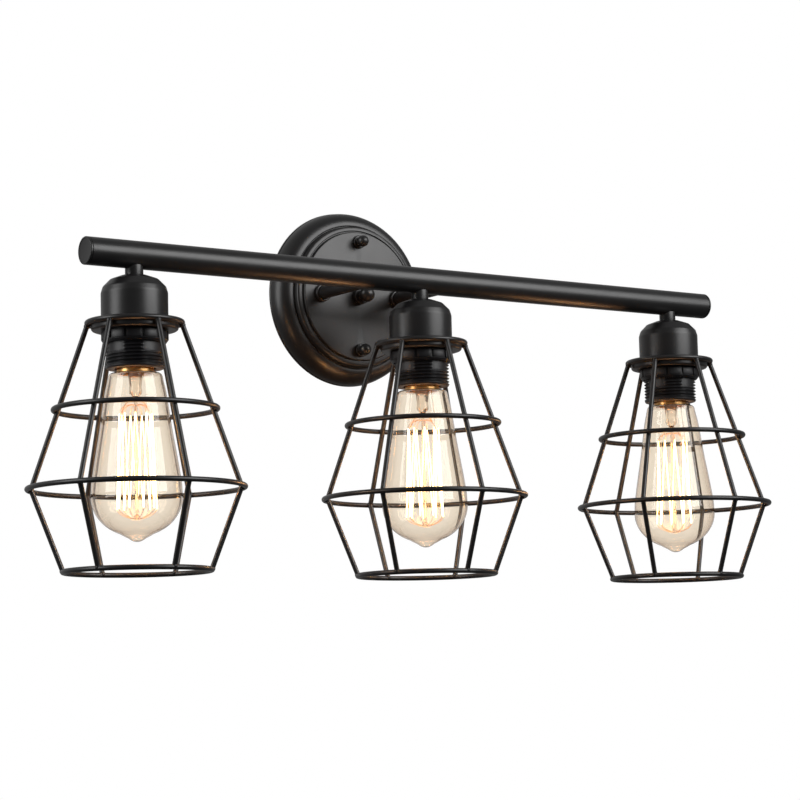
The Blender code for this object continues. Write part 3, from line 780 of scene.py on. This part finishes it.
class StageOperator(bpy.types.Operator):
    """Camera, soft studio light and a pale floor"""
    bl_idname = "light_bar.stage"
    bl_label = "Stage"

    def execute(self, context):
        look = context.scene.light_bar.stage
        context.scene.view_settings.view_transform = "Standard"
        self.add_camera(context.scene, look)
        self.add_floor(look)
        self.add_world(context.scene)
        aim = Vector((0.0, middle("bar_tube").y, -100 * MM))
        self.add_softbox("softbox_right", aim, turn=27.0, rise=24.0, away=2.2, size=(1.9, 1.4), power=47.0)
        self.add_softbox("softbox_left", aim, turn=-98.0, rise=16.0, away=2.0, size=(0.9, 1.5), power=18.0)
        for number in LAMPS:
            self.add_bulb_light(number, look)
        return {"FINISHED"}

    def add_camera(self, scene, look):
        data = bpy.data.cameras.new("view")
        data.sensor_width = 36.0
        data.lens = look.lens
        data.clip_end = 50.0
        heading, pitch = look.heading, look.pitch
        forward = Vector((math.sin(heading) * math.cos(pitch), math.cos(heading) * math.cos(pitch),
                          math.sin(pitch)))
        right = Vector((math.cos(heading), -math.sin(heading), 0.0))
        up = right.cross(forward)
        across = right * math.cos(look.roll) + up * math.sin(look.roll)
        upright = up * math.cos(look.roll) - right * math.sin(look.roll)
        camera = linked("view", data)
        turn = Matrix((across, upright, -forward)).transposed().to_4x4()
        camera.matrix_world = Matrix.Translation(look.eye) @ turn
        scene.camera = camera

    def add_floor(self, look):
        """Pale disc that the camera sees and reflections don't."""
        radius = 3.2
        bm = bmesh.new()
        bmesh.ops.create_circle(bm, cap_ends=True, segments=96, radius=radius,
                                matrix=Matrix.Translation((0.0, 0.0, look.floor)))
        mesh = filled("floor", bm)
        pale = Finish("pale_floor", (0.86, 0.86, 0.85), Roughness=0.9, Emission_Strength=0.30)
        pale.set(Emission_Color=pale.mix(pale.noise(0.5), (0.96, 0.96, 0.96), (1.0, 1.0, 1.0)))
        mesh.materials.append(pale.material)
        floor = linked("floor", mesh)
        floor.visible_glossy = False
        floor.visible_diffuse = False

    def add_world(self, scene):
        """White to the eye and through glass; a dim room, paler behind the object, in reflections."""
        world = bpy.data.worlds.new("studio")
        world.use_nodes = True
        scene.world = world
        graph = Graph(world.node_tree)
        path = graph.node("ShaderNodeLightPath", output="Is Camera Ray")
        seen = path.math("MAXIMUM", path.other("Is Transmission Ray"))
        facing = graph.node("ShaderNodeTexCoord", output="Generated")
        depth = graph.node("ShaderNodeSeparateXYZ", {}, {"Vector": facing}).other("Y")
        height = depth.other("Z")
        behind = (depth * 0.5 + 0.5) ** 3.0
        above = (height * 0.5 + 0.5) ** 1.5
        room = (0.10 + behind * 0.45) * (0.20 + above * 1.4)
        backdrop = world.node_tree.nodes["Background"]
        backdrop.inputs["Color"].default_value = (1.0, 1.0, 1.0, 1.0)
        graph.feed(backdrop.inputs["Strength"], seen + (1.0 - seen) * room)

    def add_light(self, name, kind, place, **settings):
        """A light with these settings that the camera doesn't see."""
        data = bpy.data.lights.new(name, kind)
        for setting, value in settings.items():
            setattr(data, setting, value)
        light = linked(name, data)
        light.location = place
        light.visible_camera = False
        return light

    def add_softbox(self, name, aim, turn, rise, away, size, power):
        """A rectangle of light that faces the aim, turned and raised in degrees from straight in front."""
        turn, rise = math.radians(turn), math.radians(rise)
        out = Vector((math.sin(turn) * math.cos(rise), -math.cos(turn) * math.cos(rise), math.sin(rise)))
        wide, tall = size
        light = self.add_light(name, "AREA", aim + out * away, shape="RECTANGLE", size=wide, size_y=tall,
                               energy=power)
        light.rotation_euler = out.to_track_quat("Z", "Y").to_euler()

    def add_bulb_light(self, number, look):
        light = self.add_light(f"bulb_light_{number}", "POINT", middle(f"filament_{number}"),
                               color=(1.0, 0.45, 0.19), energy=look.bulb_power, shadow_soft_size=12 * MM)
        light.visible_transmission = False


class CanopyOperator(bpy.types.Operator):
    """Round wall canopy: rolled rim, bullnose, step and flat face"""
    bl_idname = "light_bar.canopy"
    bl_label = "Canopy"

    def execute(self, context):
        arm_hole = half_width("arm_left") + 0.3 * MM
        stud_hole = 2.5 * MM
        holes = [(f"arm_{side}", arm_hole) for side in SIDES]
        holes += [(f"canopy_stud_{end}", stud_hole) for end in ENDS]
        inside, outside = 18 * MM, 30 * MM
        cutters = [rod(radius, inside, outside, out_of_wall(node)) for node, radius in holes]
        outline = self.front() + self.back()
        pan = turned("canopy_pan", outline, "satin_black", VERY_FINE, out_of_wall("canopy"))
        mesh = with_holes("canopy_pan", pan, cutters)
        add_piece("canopy_pan", mesh, "fixture", "black_paint", "canopy")
        return {"FINISHED"}

    def front(self):
        """From the centre hole, over the face, the step and the nose, to the wall."""
        face = soft(in_mm((5.0, 23.5), (50.6, 23.5, 0.8), (50.9, 20.7, 0.3), (51.9, 20.7, 0.3),
                          (52.0, 21.6, 0.4), (55.6, 21.0, 1.9), (55.9, 15.9, 0.3), (56.8, 15.9, 0.3)))[:-1]
        rim = [(CANOPY_RADIUS - inset * MM, height * MM)
               for inset, height in ((0.5, 2.4), (0.05, 1.9), (0.0, 1.2), (0.0, 0.4), (0.4, 0.0))]
        return face + self.nose(57.2 * MM, CANOPY_RADIUS - 0.4 * MM, 16.6 * MM, 22)[::-1] + rim

    def back(self):
        """From the wall, up the inside, to the centre hole."""
        wall = 1.2 * MM
        rim = CANOPY_RADIUS - wall
        pressed = [(r * MM, h * MM) for r, h in ((54.0, 19.4), (50.4, 19.8), (50.1, 22.3), (5.0, 22.3))]
        return [(rim, 0.0)] + self.nose(57.2 * MM - wall, rim, 15.4 * MM, 12) + pressed

    def nose(self, inner, outer, top, steps):
        """Quarter round from near the wall up to where the step begins."""
        base = 3.0 * MM
        angles = [math.pi / 2 * i / steps for i in range(steps + 1)]
        return [(inner + (outer - inner) * math.cos(a), base + (top - base) * math.sin(a)) for a in angles]


class FixingsOperator(bpy.types.Operator):
    """Ball nuts, finial, threaded studs and the fittings inside the canopy"""
    bl_idname = "light_bar.fixings"
    bl_label = "Fixings"

    def execute(self, context):
        for end in ENDS:
            nut = self.ball_nut(collar=(5.2, 2.0), ball=(4.5, 6.3), bore=(2.35, 5.0))
            nut.transform(out_of_wall(f"ball_nut_{end}"))
            add_piece(f"ball_cap_{end}", nut, f"ball_nut_{end}", "black_paint", f"ball_nut_{end}")
            stud = self.stud(f"canopy_stud_{end}", pitch=0.8 * MM, depth=0.42 * MM)
            add_piece(f"threaded_stud_{end}", stud, "fixture", "zinc", f"canopy_stud_{end}")
        finial = self.ball_nut(collar=(6.6, 4.0), ball=(6.0, 10.2), bore=(5.0, 3.6))
        finial.transform(out_of_wall("centre_finial"))
        add_piece("finial", finial, "centre_finial", "black_paint", "centre_finial")
        centre = self.stud("centre_rod", pitch=0.94 * MM, depth=0.55 * MM)
        add_piece("threaded_nipple", centre, "fixture", "zinc", "centre_rod")
        self.ground_screw()
        for label in ("hot", "neutral"):
            self.connector(label)
        for node in ("mounting_crossbar", "arm_nut_left", "arm_nut_right"):
            repaint(node, "zinc_plate")
        for number in LAMPS:
            repaint(f"lamp_lead_{number}", "braided_sleeve")
        return {"FINISHED"}

    def ball_nut(self, collar, ball, bore):
        """Collar, narrow neck and ball, sizes in millimetres as (radius, height), on the canopy's face."""
        base = reach_out("ball_nut_top")[0] / MM
        neck = 3.3
        low = math.acos(neck / ball[0])
        steps = 20
        angles = [-low + (math.pi / 2 + low) * i / steps for i in range(steps)]
        crown = [(ball[0] * math.cos(a), base + ball[1] + ball[0] * math.sin(a)) for a in angles]
        outline = in_mm((0.0, base + bore[1]), (bore[0], base + bore[1]), (bore[0], base, 0.2),
                        (collar[0], base, 0.3), (collar[0], base + collar[1], 0.7),
                        (neck, base + collar[1], 0.3),
                        *crown, (0.0, base + sum(ball[::-1])))
        return turned("ball_nut", soft(outline), "satin_black")

    def stud(self, node, pitch, depth):
        low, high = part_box(node)
        radius, end, point = (high.z - low.z) / 2, -low.y, 0.5 * MM
        outline = [(0.0, 0.0), *stacked(0.0, end - point, radius, pitch / 6), (radius - point, end),
                   (0.0, end)]
        mesh = threaded(f"{node}_thread", lathe(outline, SMALL), "zinc_plate", pitch, depth,
                        low=0.0, high=end, least_radius=radius * 0.97)
        mesh.transform(out_of_wall(node))
        return mesh

    def ground_screw(self):
        place = out_of_wall("ground_screw")
        outline = soft(in_mm((0, 0), (2.05, 0), (2.05, 2.3), (4.2, 2.3, 0.2), (4.2, 3.5, 0.4),
                             (3.2, 4.8, 0.8), (0, 4.8)))
        length, width, depth, middle_height = 12 * MM, 0.9 * MM, 1.8 * MM, 4.6 * MM
        slot = bmesh.new()
        bmesh.ops.create_cube(slot, size=1.0, matrix=place @ Matrix.Translation((0, 0, middle_height))
                              @ Matrix.Diagonal((length, width, depth, 1.0)))
        head = turned("earth_screw", outline, "green_screw", SMALL, place)
        add_piece("earth_screw", with_holes("earth_screw", head, [slot]), "fixture", "green_screw",
                  "ground_screw")

    def connector(self, label):
        """Twist-on connector with grip ribs round its skirt."""
        node = f"wire_connector_{label}"
        spot = middle(node)
        place = Matrix.Translation((spot.x, spot.y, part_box(node)[0].z))
        shell = soft(in_mm((0, 0.0), (4.7, 0.0, 0.5), (4.7, 4.5, 0.6), (2.9, 14.0, 0.8), (2.2, 15.5, 0.8),
                           (0, 15.5)))
        line = [Vector((r * MM, 0.0, h * MM)) for r, h in ((4.6, 0.8), (4.6, 4.2), (3.0, 13.0))]
        rib = as_mesh("rib", tube(line, radius=0.5 * MM, sides=8), "orange_plastic")
        ribs = 14
        mesh = with_copies(f"twist_connector_{label}", turned("shell", shell, "orange_plastic", SMALL),
                           rib, ribs, "orange_plastic")
        mesh.transform(place)
        add_piece(f"twist_connector_{label}", mesh, "fixture", "connector", node)


class BarOperator(bpy.types.Operator):
    """Straight tube with its end caps, and the two arms with their collars"""
    bl_idname = "light_bar.bar"
    bl_label = "Bar and arms"

    def execute(self, context):
        centre = middle("bar_tube")
        along = Matrix.Translation((0.0, centre.y, 0.0)) @ Matrix.Rotation(math.pi / 2, 4, "Y")
        self.tube(along)
        self.end_caps(along)
        for side in SIDES:
            self.arm(side)
        return {"FINISHED"}

    def tube(self, along):
        wall = 1.2 * MM
        bore = BAR_RADIUS - wall
        edge = 0.25 * MM
        play = 0.3 * MM
        stem = half_width("lamp_stem_2") + play
        arm = half_width("arm_left") + play
        marks = [lamp_place(n).translation.x for n in LAMPS] + [middle(f"arm_{side}").x for side in SIDES]
        margin = 9 * MM
        stations = sorted(mark + reach for mark in marks for reach in (-margin, margin))
        outer = [(BAR_RADIUS, BAR_LOW.x + edge), *[(BAR_RADIUS, x) for x in stations],
                 (BAR_RADIUS, BAR_HIGH.x - edge)]
        outline = [(BAR_RADIUS - edge, BAR_LOW.x), *outer, (BAR_RADIUS - edge, BAR_HIGH.x),
                   (bore, BAR_HIGH.x), *[(bore, x) for x in reversed(stations)], (bore, BAR_LOW.x)]
        cutters = [rod(stem, -BAR_RADIUS - MM, 0.0, lamp_place(n), MEDIUM) for n in LAMPS]
        out = -BAR_LOW.y
        cutters += [rod(arm, out - 2 * BAR_RADIUS - MM, out - BAR_RADIUS, out_of_wall(f"arm_{side}"), MEDIUM)
                    for side in SIDES]
        mesh = with_holes("bar_pipe", turned("bar_pipe", outline, "satin_black", FINE, along), cutters)
        add_piece("bar_pipe", mesh, "fixture", "black_paint", "bar_tube")

    def end_caps(self, along):
        """Pressed plug: a rounded rim round a slightly sunk disc."""
        disc = BAR_RADIUS - 1.5 * MM
        seam = sunk = 0.3 * MM
        start = BAR_HIGH.x + seam
        thick = CAP_END - start
        plug = -6 * MM
        outline = soft([(0.0, thick - sunk, 0.0), (disc, thick - sunk, 0.15 * MM), (disc, thick, 0.2 * MM),
                        (BAR_RADIUS, thick, 0.8 * MM), (BAR_RADIUS, 0.0, 0.1 * MM), (disc, 0.0, 0.0),
                        (disc, plug, 0.4 * MM), (0.0, plug, 0.0)])
        for side, flip in (("left", Matrix.Rotation(math.pi, 4, "X")), ("right", Matrix.Identity(4))):
            place = along @ flip @ Matrix.Translation((0.0, 0.0, start))
            mesh = turned(f"end_plug_{side}", outline, "satin_black", FINE, place)
            add_piece(f"end_plug_{side}", mesh, "fixture", "black_paint", f"bar_end_cap_{side}")

    def arm(self, side):
        node = f"arm_{side}"
        radius = half_width(node)
        low, high = reach_out(node)
        bore = radius - 1.3 * MM
        edge = 0.3 * MM
        pipe = soft([(bore, low, 0.0), (radius, low, edge), (radius, high, edge), (bore, high, 0.0)])
        mesh = turned(f"arm_pipe_{side}", pipe, "satin_black", place=out_of_wall(node))
        add_piece(f"arm_pipe_{side}", mesh, "fixture", "black_paint", node)
        ring = f"arm_collar_{side}"
        low, high = reach_out(ring)
        outer = half_width(ring)
        inner = radius + 0.12 * MM
        collar = soft([(inner, low, 0.0), (outer, low, 0.3 * MM), (outer, high, 1.1 * MM),
                       (inner, high, 0.5 * MM)])
        mesh = turned(f"arm_rosette_{side}", collar, "satin_black", place=out_of_wall(node))
        add_piece(f"arm_rosette_{side}", mesh, "fixture", "black_paint", ring)


class LampholderOperator(bpy.types.Operator):
    """Stem, domed cup, threaded lampholder, screw shell and contact of each lamp"""
    bl_idname = "light_bar.lampholders"
    bl_label = "Lampholders"

    def execute(self, context):
        look = context.scene.light_bar.lampholder
        self.stem()
        self.cup()
        self.holder(look)
        self.shell()
        for number in LAMPS:
            repaint(f"contact_tab_{number}", "brass")
        return {"FINISHED"}

    def stem(self):
        low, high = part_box("lamp_stem_2")
        radius = half_width("lamp_stem_2")
        foot = CUP_HIGH.z + 0.05 * MM
        bore, spigot = 3.4 * MM, 4.8 * MM
        outline = soft([(bore, high.z, 0.0), (bore, low.z, 0.0), (spigot, low.z, 0.3 * MM),
                        (spigot, foot, 0.0), (radius, foot, 0.25 * MM), (radius, high.z, 0.3 * MM)])
        add_three("stem_#", turned("stem", outline, "satin_black"), "fixture", "black_paint", "lamp_stem_#")

    def cup(self):
        """Flat crown, soft crease, sloped shoulder, straight skirt with a rolled lip."""
        top, low, radius = CUP_HIGH.z / MM, CUP_LOW.z / MM, CUP_RADIUS / MM
        wall = 1.0
        outline = soft(in_mm((5.1, top), (9.0, top, 4.0), (17.2, top - 3.0, 1.6), (22.3, top - 8.2, 3.2),
                             (radius, top - 12.5, 4.0), (radius, low, 0.35), (radius - wall, low, 0.35),
                             (radius - wall, top - 12.8, 3.0), (16.6, top - 4.0, 2.0), (9.0, top - wall, 2.0),
                             (5.1, top - wall)), 7)
        add_three("cup_#", turned("cup", outline, "satin_black", FINE), "fixture", "black_paint",
                  "socket_cup_#")

    def holder(self, look):
        """Collar and shoulders hidden in the cup, then the threaded barrel down to its rim."""
        top, rim, floor = BODY_HIGH.z, BODY_LOW.z, -55.0 * MM
        wire_hole, collar, bore = 5.1 * MM, 9.0 * MM, 14.6 * MM
        shoulder = [(collar, -25 * MM), (19.5 * MM, -29 * MM)]
        start = rim + 1.4 * MM
        wall = stacked(start, floor + MM, BARREL_RADIUS, look.pitch / 14)
        lip = soft([(BARREL_RADIUS, rim + 1.2 * MM, 0.0), (BARREL_RADIUS - 0.7 * MM, rim, 0.5 * MM),
                    (bore, rim, 0.5 * MM), (bore, floor, 0.0)])
        outline = [(wire_hole, top), (collar, top), *shoulder, *reversed(wall), *lip, (wire_hole, floor)]
        mesh = threaded("holder", lathe(outline, RING_FINE), "moulded_black", look.pitch, look.depth,
                        low=start, high=floor, least_radius=BARREL_RADIUS - 0.05 * MM,
                        full_below=rim + 9.0 * MM, sector_turn=look.sector_turn)
        add_three("holder_#", mesh, "fixture", "bakelite", "socket_body_#")

    def shell(self):
        """Screw shell inside the barrel, made as a plain sleeve inside and out."""
        inner, outer, low, high = 13.6 * MM, 14.3 * MM, -79.6 * MM, -59 * MM
        outline = [(inner, low), (outer, low), (outer, high), (inner, high)]
        add_three("shell_#", turned("shell", outline, "brass"), "fixture", "brass", "screw_shell_#")


class RingNutOperator(bpy.types.Operator):
    """Castellated ring that clamps the cage on the lampholder"""
    bl_idname = "light_bar.ring_nuts"
    bl_label = "Ring nuts"

    def execute(self, context):
        look = context.scene.light_bar.lampholder
        top, low, radius = NUT_HIGH.z, NUT_LOW.z, NUT_RADIUS
        bore = BARREL_RADIUS + 0.2 * MM
        waist = radius - 1.3 * MM
        lip = low + 2.2 * MM
        core = soft([(bore, top, 0.0), (waist, top, 0.4 * MM), (waist, lip, 0.0),
                     (radius - 0.2 * MM, lip, 0.3 * MM), (radius - 1.9 * MM, low, 0.5 * MM),
                     (bore, low, 0.3 * MM)])
        root, pad_top, pad_low = waist - 0.8 * MM, top - 0.5 * MM, lip + 0.1 * MM
        block = [(root, pad_top), (radius, pad_top), (radius, pad_low), (root, pad_low)]
        span = 2 * math.pi / look.pads * look.pad_share
        pad = as_mesh("pad", arc_block(block, span, steps=6, edge=0.3 * MM), "moulded_black")
        mesh = with_copies("clamp_ring", turned("core", core, "moulded_black", RING_FINE), pad, look.pads,
                           "moulded_black")
        add_three("clamp_ring_#", mesh, "ring_nut_#", "bakelite", "ring_nut_#")
        return {"FINISHED"}


def arc_block(outline, span, steps, edge):
    """The closed (radius, height) outline swept through part of a turn, its edges rounded."""
    bm = bmesh.new()
    rows = []
    for i in range(steps + 1):
        a = span * (i / steps - 0.5)
        rows.append([bm.verts.new((r * math.cos(a), r * math.sin(a), h)) for r, h in outline])
    skin(bm, rows)
    hard = [e for e in bm.edges if e.calc_face_angle(0.0) > math.radians(45)]
    bmesh.ops.bevel(bm, geom=hard, offset=edge, segments=2, affect="EDGES", profile=0.5)
    return bm


class CageOperator(bpy.types.Operator):
    """Wire cage shades: a dish, four rings and bent wires, welded at each crossing"""
    bl_idname = "light_bar.cages"
    bl_label = "Wire cages"

    def execute(self, context):
        look = context.scene.light_bar.cage
        wire = look.wire
        top = CAGE_HIGH.z - wire
        low = CAGE_LOW.z + wire
        wide_radius = half_width("wire_cage_2") - wire
        # The bent wires run inside the upper and wide rings, and end against the top and low ones.
        start = Vector((look.top_radius, 0.0, top - 0.9 * wire))
        kink = Vector((wide_radius - look.bite, 0.0, look.wide_drop))
        end = Vector((look.low_radius, 0.0, low + 0.4 * wire))
        share = (look.upper_drop - start.z) / (kink.z - start.z)
        crossing = start.lerp(kink, share)
        ring_gap = 1.78 * wire
        upper_radius = crossing.x + ring_gap
        bend = self.bent(start, kink, end, radius=5 * MM)
        weld_drop, weld_out = 0.3 * MM, wire * 0.9
        spots = [start - Vector((0, 0, weld_drop)), crossing + Vector((weld_out, 0, 0)),
                 kink + Vector((weld_out * 0.8, 0, 0)), end]
        bent_wire = linked("bent_wire", polyline("bent_wire", bend))
        weld_spots = linked("weld_spots", polyline("weld_spots", spots))
        mesh = run_tree(cage_tree(), linked("cage", as_mesh("dish", self.dish(top), "satin_black")),
                        Bent_Wire=bent_wire, Weld_Spots=weld_spots, Wires=look.wires, Wire_Radius=wire,
                        Top_Radius=look.top_radius, Top_Height=top,
                        Upper_Radius=upper_radius, Upper_Height=look.upper_drop,
                        Wide_Radius=wide_radius, Wide_Height=look.wide_drop,
                        Low_Radius=look.low_radius, Low_Height=low, Material=finish("satin_black"))
        bpy.data.objects.remove(bent_wire)
        bpy.data.objects.remove(weld_spots)
        mesh.transform(Matrix.Rotation(math.pi / look.wires, 4, "Z"))
        add_three("cage_shade_#", mesh, "cage_#", "black_paint", "wire_cage_#")
        return {"FINISHED"}

    def bent(self, start, kink, end, radius):
        """Down the wire, round the kink on an arc, and on to its end."""
        steps = 6
        into = (start - kink).normalized()
        away = (end - kink).normalized()
        half = into.angle(away) / 2
        reach = radius / math.tan(half)
        centre = kink + (into + away).normalized() * radius / math.sin(half)
        first, last = kink + into * reach - centre, kink + away * reach - centre
        arc = [centre + first.slerp(last, i / steps).normalized() * radius for i in range(steps + 1)]
        return [start, *arc, end]

    def dish(self, ring_height):
        """Shallow pan under the top ring, its lip against the ring."""
        hole = NUT_RADIUS - 2.4 * MM
        low = NUT_HIGH.z + 0.3 * MM
        thick = 1.2 * MM
        side = 30.6 * MM
        lip = ring_height - 0.2 * MM
        outline = [(hole, low, 0.3 * MM), (side, low, 2.2 * MM), (side, ring_height - 2.2 * MM, 0.8 * MM),
                   (side + 1.8 * MM, lip - 0.6 * MM, 0.0), (side + 1.8 * MM, lip + 0.4 * MM, 0.0),
                   (side - thick, ring_height - 1.2 * MM, 0.8 * MM), (side - thick, low + thick, 1.4 * MM),
                   (hole, low + thick, 0.3 * MM)]
        return lathe(soft(outline, 6), FINE)


def smooth_curve(points, steps):
    """A Catmull-Rom curve through the points."""
    spots = [Vector(p) for p in points]
    spots = [spots[0] * 2 - spots[1], *spots, spots[-1] * 2 - spots[-2]]
    curve = []
    for a, b, c, d in zip(spots, spots[1:], spots[2:], spots[3:]):
        for i in range(steps):
            t = i / steps
            curve.append(0.5 * (2 * b + (c - a) * t + (2 * a - 5 * b + 4 * c - d) * t * t
                                + (3 * b - a - 3 * c + d) * t ** 3))
    return [*curve, spots[-2]]


class BulbOperator(bpy.types.Operator):
    """Filament bulbs: glass, base, insulator, stem, supports and filament"""
    bl_idname = "light_bar.bulbs"
    bl_label = "Bulbs"

    def execute(self, context):
        look = context.scene.light_bar.bulb
        self.glass()
        self.base()
        self.insulator()
        self.stem()
        self.supports(look)
        self.filament(look)
        return {"FINISHED"}

    def glass(self):
        """Neck in the base, abrupt shoulder, long cone, round floor and a small tip."""
        thick = 0.6 * MM
        tip = GLASS_LOW.z
        neck = smooth_curve(points_mm((12.1, GLASS_HIGH.z / MM), (12.1, -83.0), (13.0, -83.9), (16.9, -84.2),
                                      (18.8, -85.6), (19.9, -90.5), (21.8, -99.5), (25.4, -124), (27.8, -138),
                                      (30.1, -152), (31.55, -162)), 5)
        wide, deep = -170.5 * MM, 27.8 * MM
        steps, last = 26, math.radians(68)
        angles = [last * i / steps for i in range(steps + 1)]
        floor = [Vector((GLASS_RADIUS * math.cos(a), wide - deep * math.sin(a))) for a in angles]
        flare = [(r * MM, tip + h * MM) for r, h in ((8.6, 3.7), (6.2, 2.5), (4.2, 1.1), (2.1, 0.25), (0, 0))]
        outer = [*neck, *floor, *smooth_curve([floor[-1], *flare], 4)[1:]]
        inner = []
        for before, point, after in zip([outer[0], *outer], outer, outer[1:]):
            run = after - before
            inner.append(point + Vector((run.y, -run.x)).normalized() * thick)
        inner = [p for p in inner if p.x > 1.0 * MM] + [Vector((0.0, tip + 2.4 * thick))]
        outline = [(max(p.x, 0.0), p.y) for p in [*outer, *reversed(inner)]]
        glass = turned("glass", outline, "bulb_glass", FINE, sharp=math.radians(60))
        self.let_light_by(add_three("glass_#", glass, "bulb_#", "bulb_glass", "bulb_glass_#"))

    def let_light_by(self, pieces):
        """Clear glass throws no shadow, so the filament's light gets out."""
        for piece in pieces:
            piece.visible_shadow = False

    def base(self):
        """Brass cap with a rounded thread and a rolled lower edge."""
        pitch, depth = 3.63 * MM, 0.95 * MM
        radius = half_width("bulb_base_2")
        low, high = BASE_LOW.z, BASE_HIGH.z
        inner = radius - 0.6 * MM
        start = low + 2.2 * MM
        hem = soft([(inner, low, 0.2 * MM), (radius, low, 0.25 * MM), (radius, low + 2 * MM, 0.0)])[2:]
        outline = [(inner, low), *hem, *stacked(start, high - 2.6 * MM, radius, pitch / 14),
                   (10.6 * MM, high), (10.0 * MM, high - 0.6 * MM), (inner, high - 2.9 * MM)]
        mesh = threaded("brass_cap", lathe(outline, CAP_FINE), "brass", pitch, depth,
                        low=start, high=high - 2.4 * MM, least_radius=radius - 0.02 * MM)
        add_three("brass_cap_#", mesh, "bulb_#", "brass", "bulb_base_#")

    def insulator(self):
        """Black glass end of the base, and the contact on it."""
        body = soft(in_mm((0, -59.2), (4.4, -59.2, 0.2), (5.6, -60.0, 0.6), (9.6, -63.3, 1.0),
                          (9.6, -65.4, 0.3), (0, -65.4)))
        contact = soft(in_mm((0, -58.2), (3.6, -58.3, 0.8), (4.5, -59.2, 0.2), (0, -59.2)))
        add_three("insulator_#", turned("insulator", body, "black_glass"), "bulb_contact_#", "insulator",
                  "bulb_insulator_#")
        add_three("tip_contact_#", turned("contact", contact, "brass", SMALL), "bulb_contact_#", "brass")

    def stem(self):
        """Flared and pinched glass stem, its rod and the button at the rod's end."""
        outline = soft(in_mm((0, -78.0), (5.9, -78.0, 0.5), (5.0, -86.0, 2.0), (4.2, -93.0, 2.0),
                             (4.6, -98.0, 1.4), (1.15, -101.5, 1.4), (1.15, -183.2, 0.6), (2.4, -184.4, 0.7),
                             (2.4, -186.2, 0.9), (0, -187.0)))
        glass = turned("glass_stem", outline, "stem_glass", SMALL)
        self.let_light_by(add_three("glass_stem_#", glass, "bulb_#", "stem_glass", "bulb_mount_#"))

    def supports(self, look):
        """Two spiders that hold the filament, and the two wires that feed it."""
        top, foot = FILAMENT_HIGH.z / MM, FILAMENT_LOW.z / MM
        crown, hem = look.crown / MM - 0.1, look.hem / MM - 0.1
        next_run = Matrix.Rotation(2 * math.pi / look.runs, 4, "Z")
        upper = self.wire(0.22, 6, (0.9, top + 4), (4.5, top + 4.4), (9.5, top + 2.4), (crown, top - 1.6))
        lower = self.wire(0.22, 6, (1.2, foot - 4.8), (6, foot - 3.6), (11.2, foot - 1.2), (hem, foot + 1.8))
        bmesh.ops.transform(lower, matrix=next_run, verts=lower.verts)
        feeds = [self.wire(0.35, 8, *((side * r, h) for r, h in (
            (2.2, -97), (3.0, -102), (8.0, -106), (crown, top - 1.6)))) for side in (-1, 1)]
        mesh = with_copies("supports", as_mesh("feeds", merged(feeds), "support_wire"),
                           as_mesh("spider", merged([upper, lower]), "support_wire"), look.runs // 2,
                           "support_wire")
        add_three("filament_supports_#", mesh, "bulb_#", "brass")

    def wire(self, radius, sides, *points):
        """Round wire on a curve through (radius, height) points beside the axis, all in millimetres."""
        path = smooth_curve(points_mm(*((r, 0.0, h) for r, h in points)), 4)
        return tube(path, radius * MM, sides)

    def filament(self, look):
        start = linked("filament", bpy.data.meshes.new("filament"))
        inset = 0.4 * MM
        mesh = run_tree(zigzag_tree(), start, Runs=look.runs, Top_Radius=look.crown, Foot_Radius=look.hem,
                        Top=FILAMENT_HIGH.z - inset, Foot=FILAMENT_LOW.z + inset, Wire_Radius=0.34 * MM,
                        Bend=0.12 * MM, Material=finish("hot_filament"))
        add_three("glowing_wire_#", mesh, "bulb_#", "filament", "filament_#")


class LightBarPanel(bpy.types.Panel):
    """Lists the builders and the settings"""
    bl_idname = "VIEW3D_PT_light_bar"
    bl_label = "Light bar"
    bl_space_type = "VIEW_3D"
    bl_region_type = "UI"
    bl_category = "Light bar"

    def draw(self, context):
        for operator in OPERATORS:
            self.layout.operator(operator.bl_idname)
        settings = context.scene.light_bar
        for group in ("paint", "lampholder", "cage", "bulb", "stage"):
            box = self.layout.box()
            box.label(text=group.capitalize())
            part = getattr(settings, group)
            for name in part.bl_rna.properties.keys():
                if name not in {"rna_type", "name"}:
                    box.prop(part, name)


OPERATORS = (StageOperator, CanopyOperator, FixingsOperator, BarOperator, LampholderOperator,
             RingNutOperator, CageOperator, BulbOperator)
SETTINGS = (PaintSettings, LampholderSettings, CageSettings, BulbSettings, StageSettings, LightBarSettings)


def register():
    for kind in (*SETTINGS, *OPERATORS, LightBarPanel):
        bpy.utils.register_class(kind)
    bpy.types.Scene.light_bar = PointerProperty(type=LightBarSettings)


def unregister():
    del bpy.types.Scene.light_bar
    for kind in reversed((*SETTINGS, *OPERATORS, LightBarPanel)):
        bpy.utils.unregister_class(kind)


def main():
    register()
    bpy.ops.light_bar.stage()
    bpy.ops.light_bar.canopy()
    bpy.ops.light_bar.fixings()
    bpy.ops.light_bar.bar()
    bpy.ops.light_bar.lampholders()
    bpy.ops.light_bar.ring_nuts()
    bpy.ops.light_bar.cages()
    bpy.ops.light_bar.bulbs()
    bpy.context.view_layer.update()


if __name__ == "__main__":
    main()
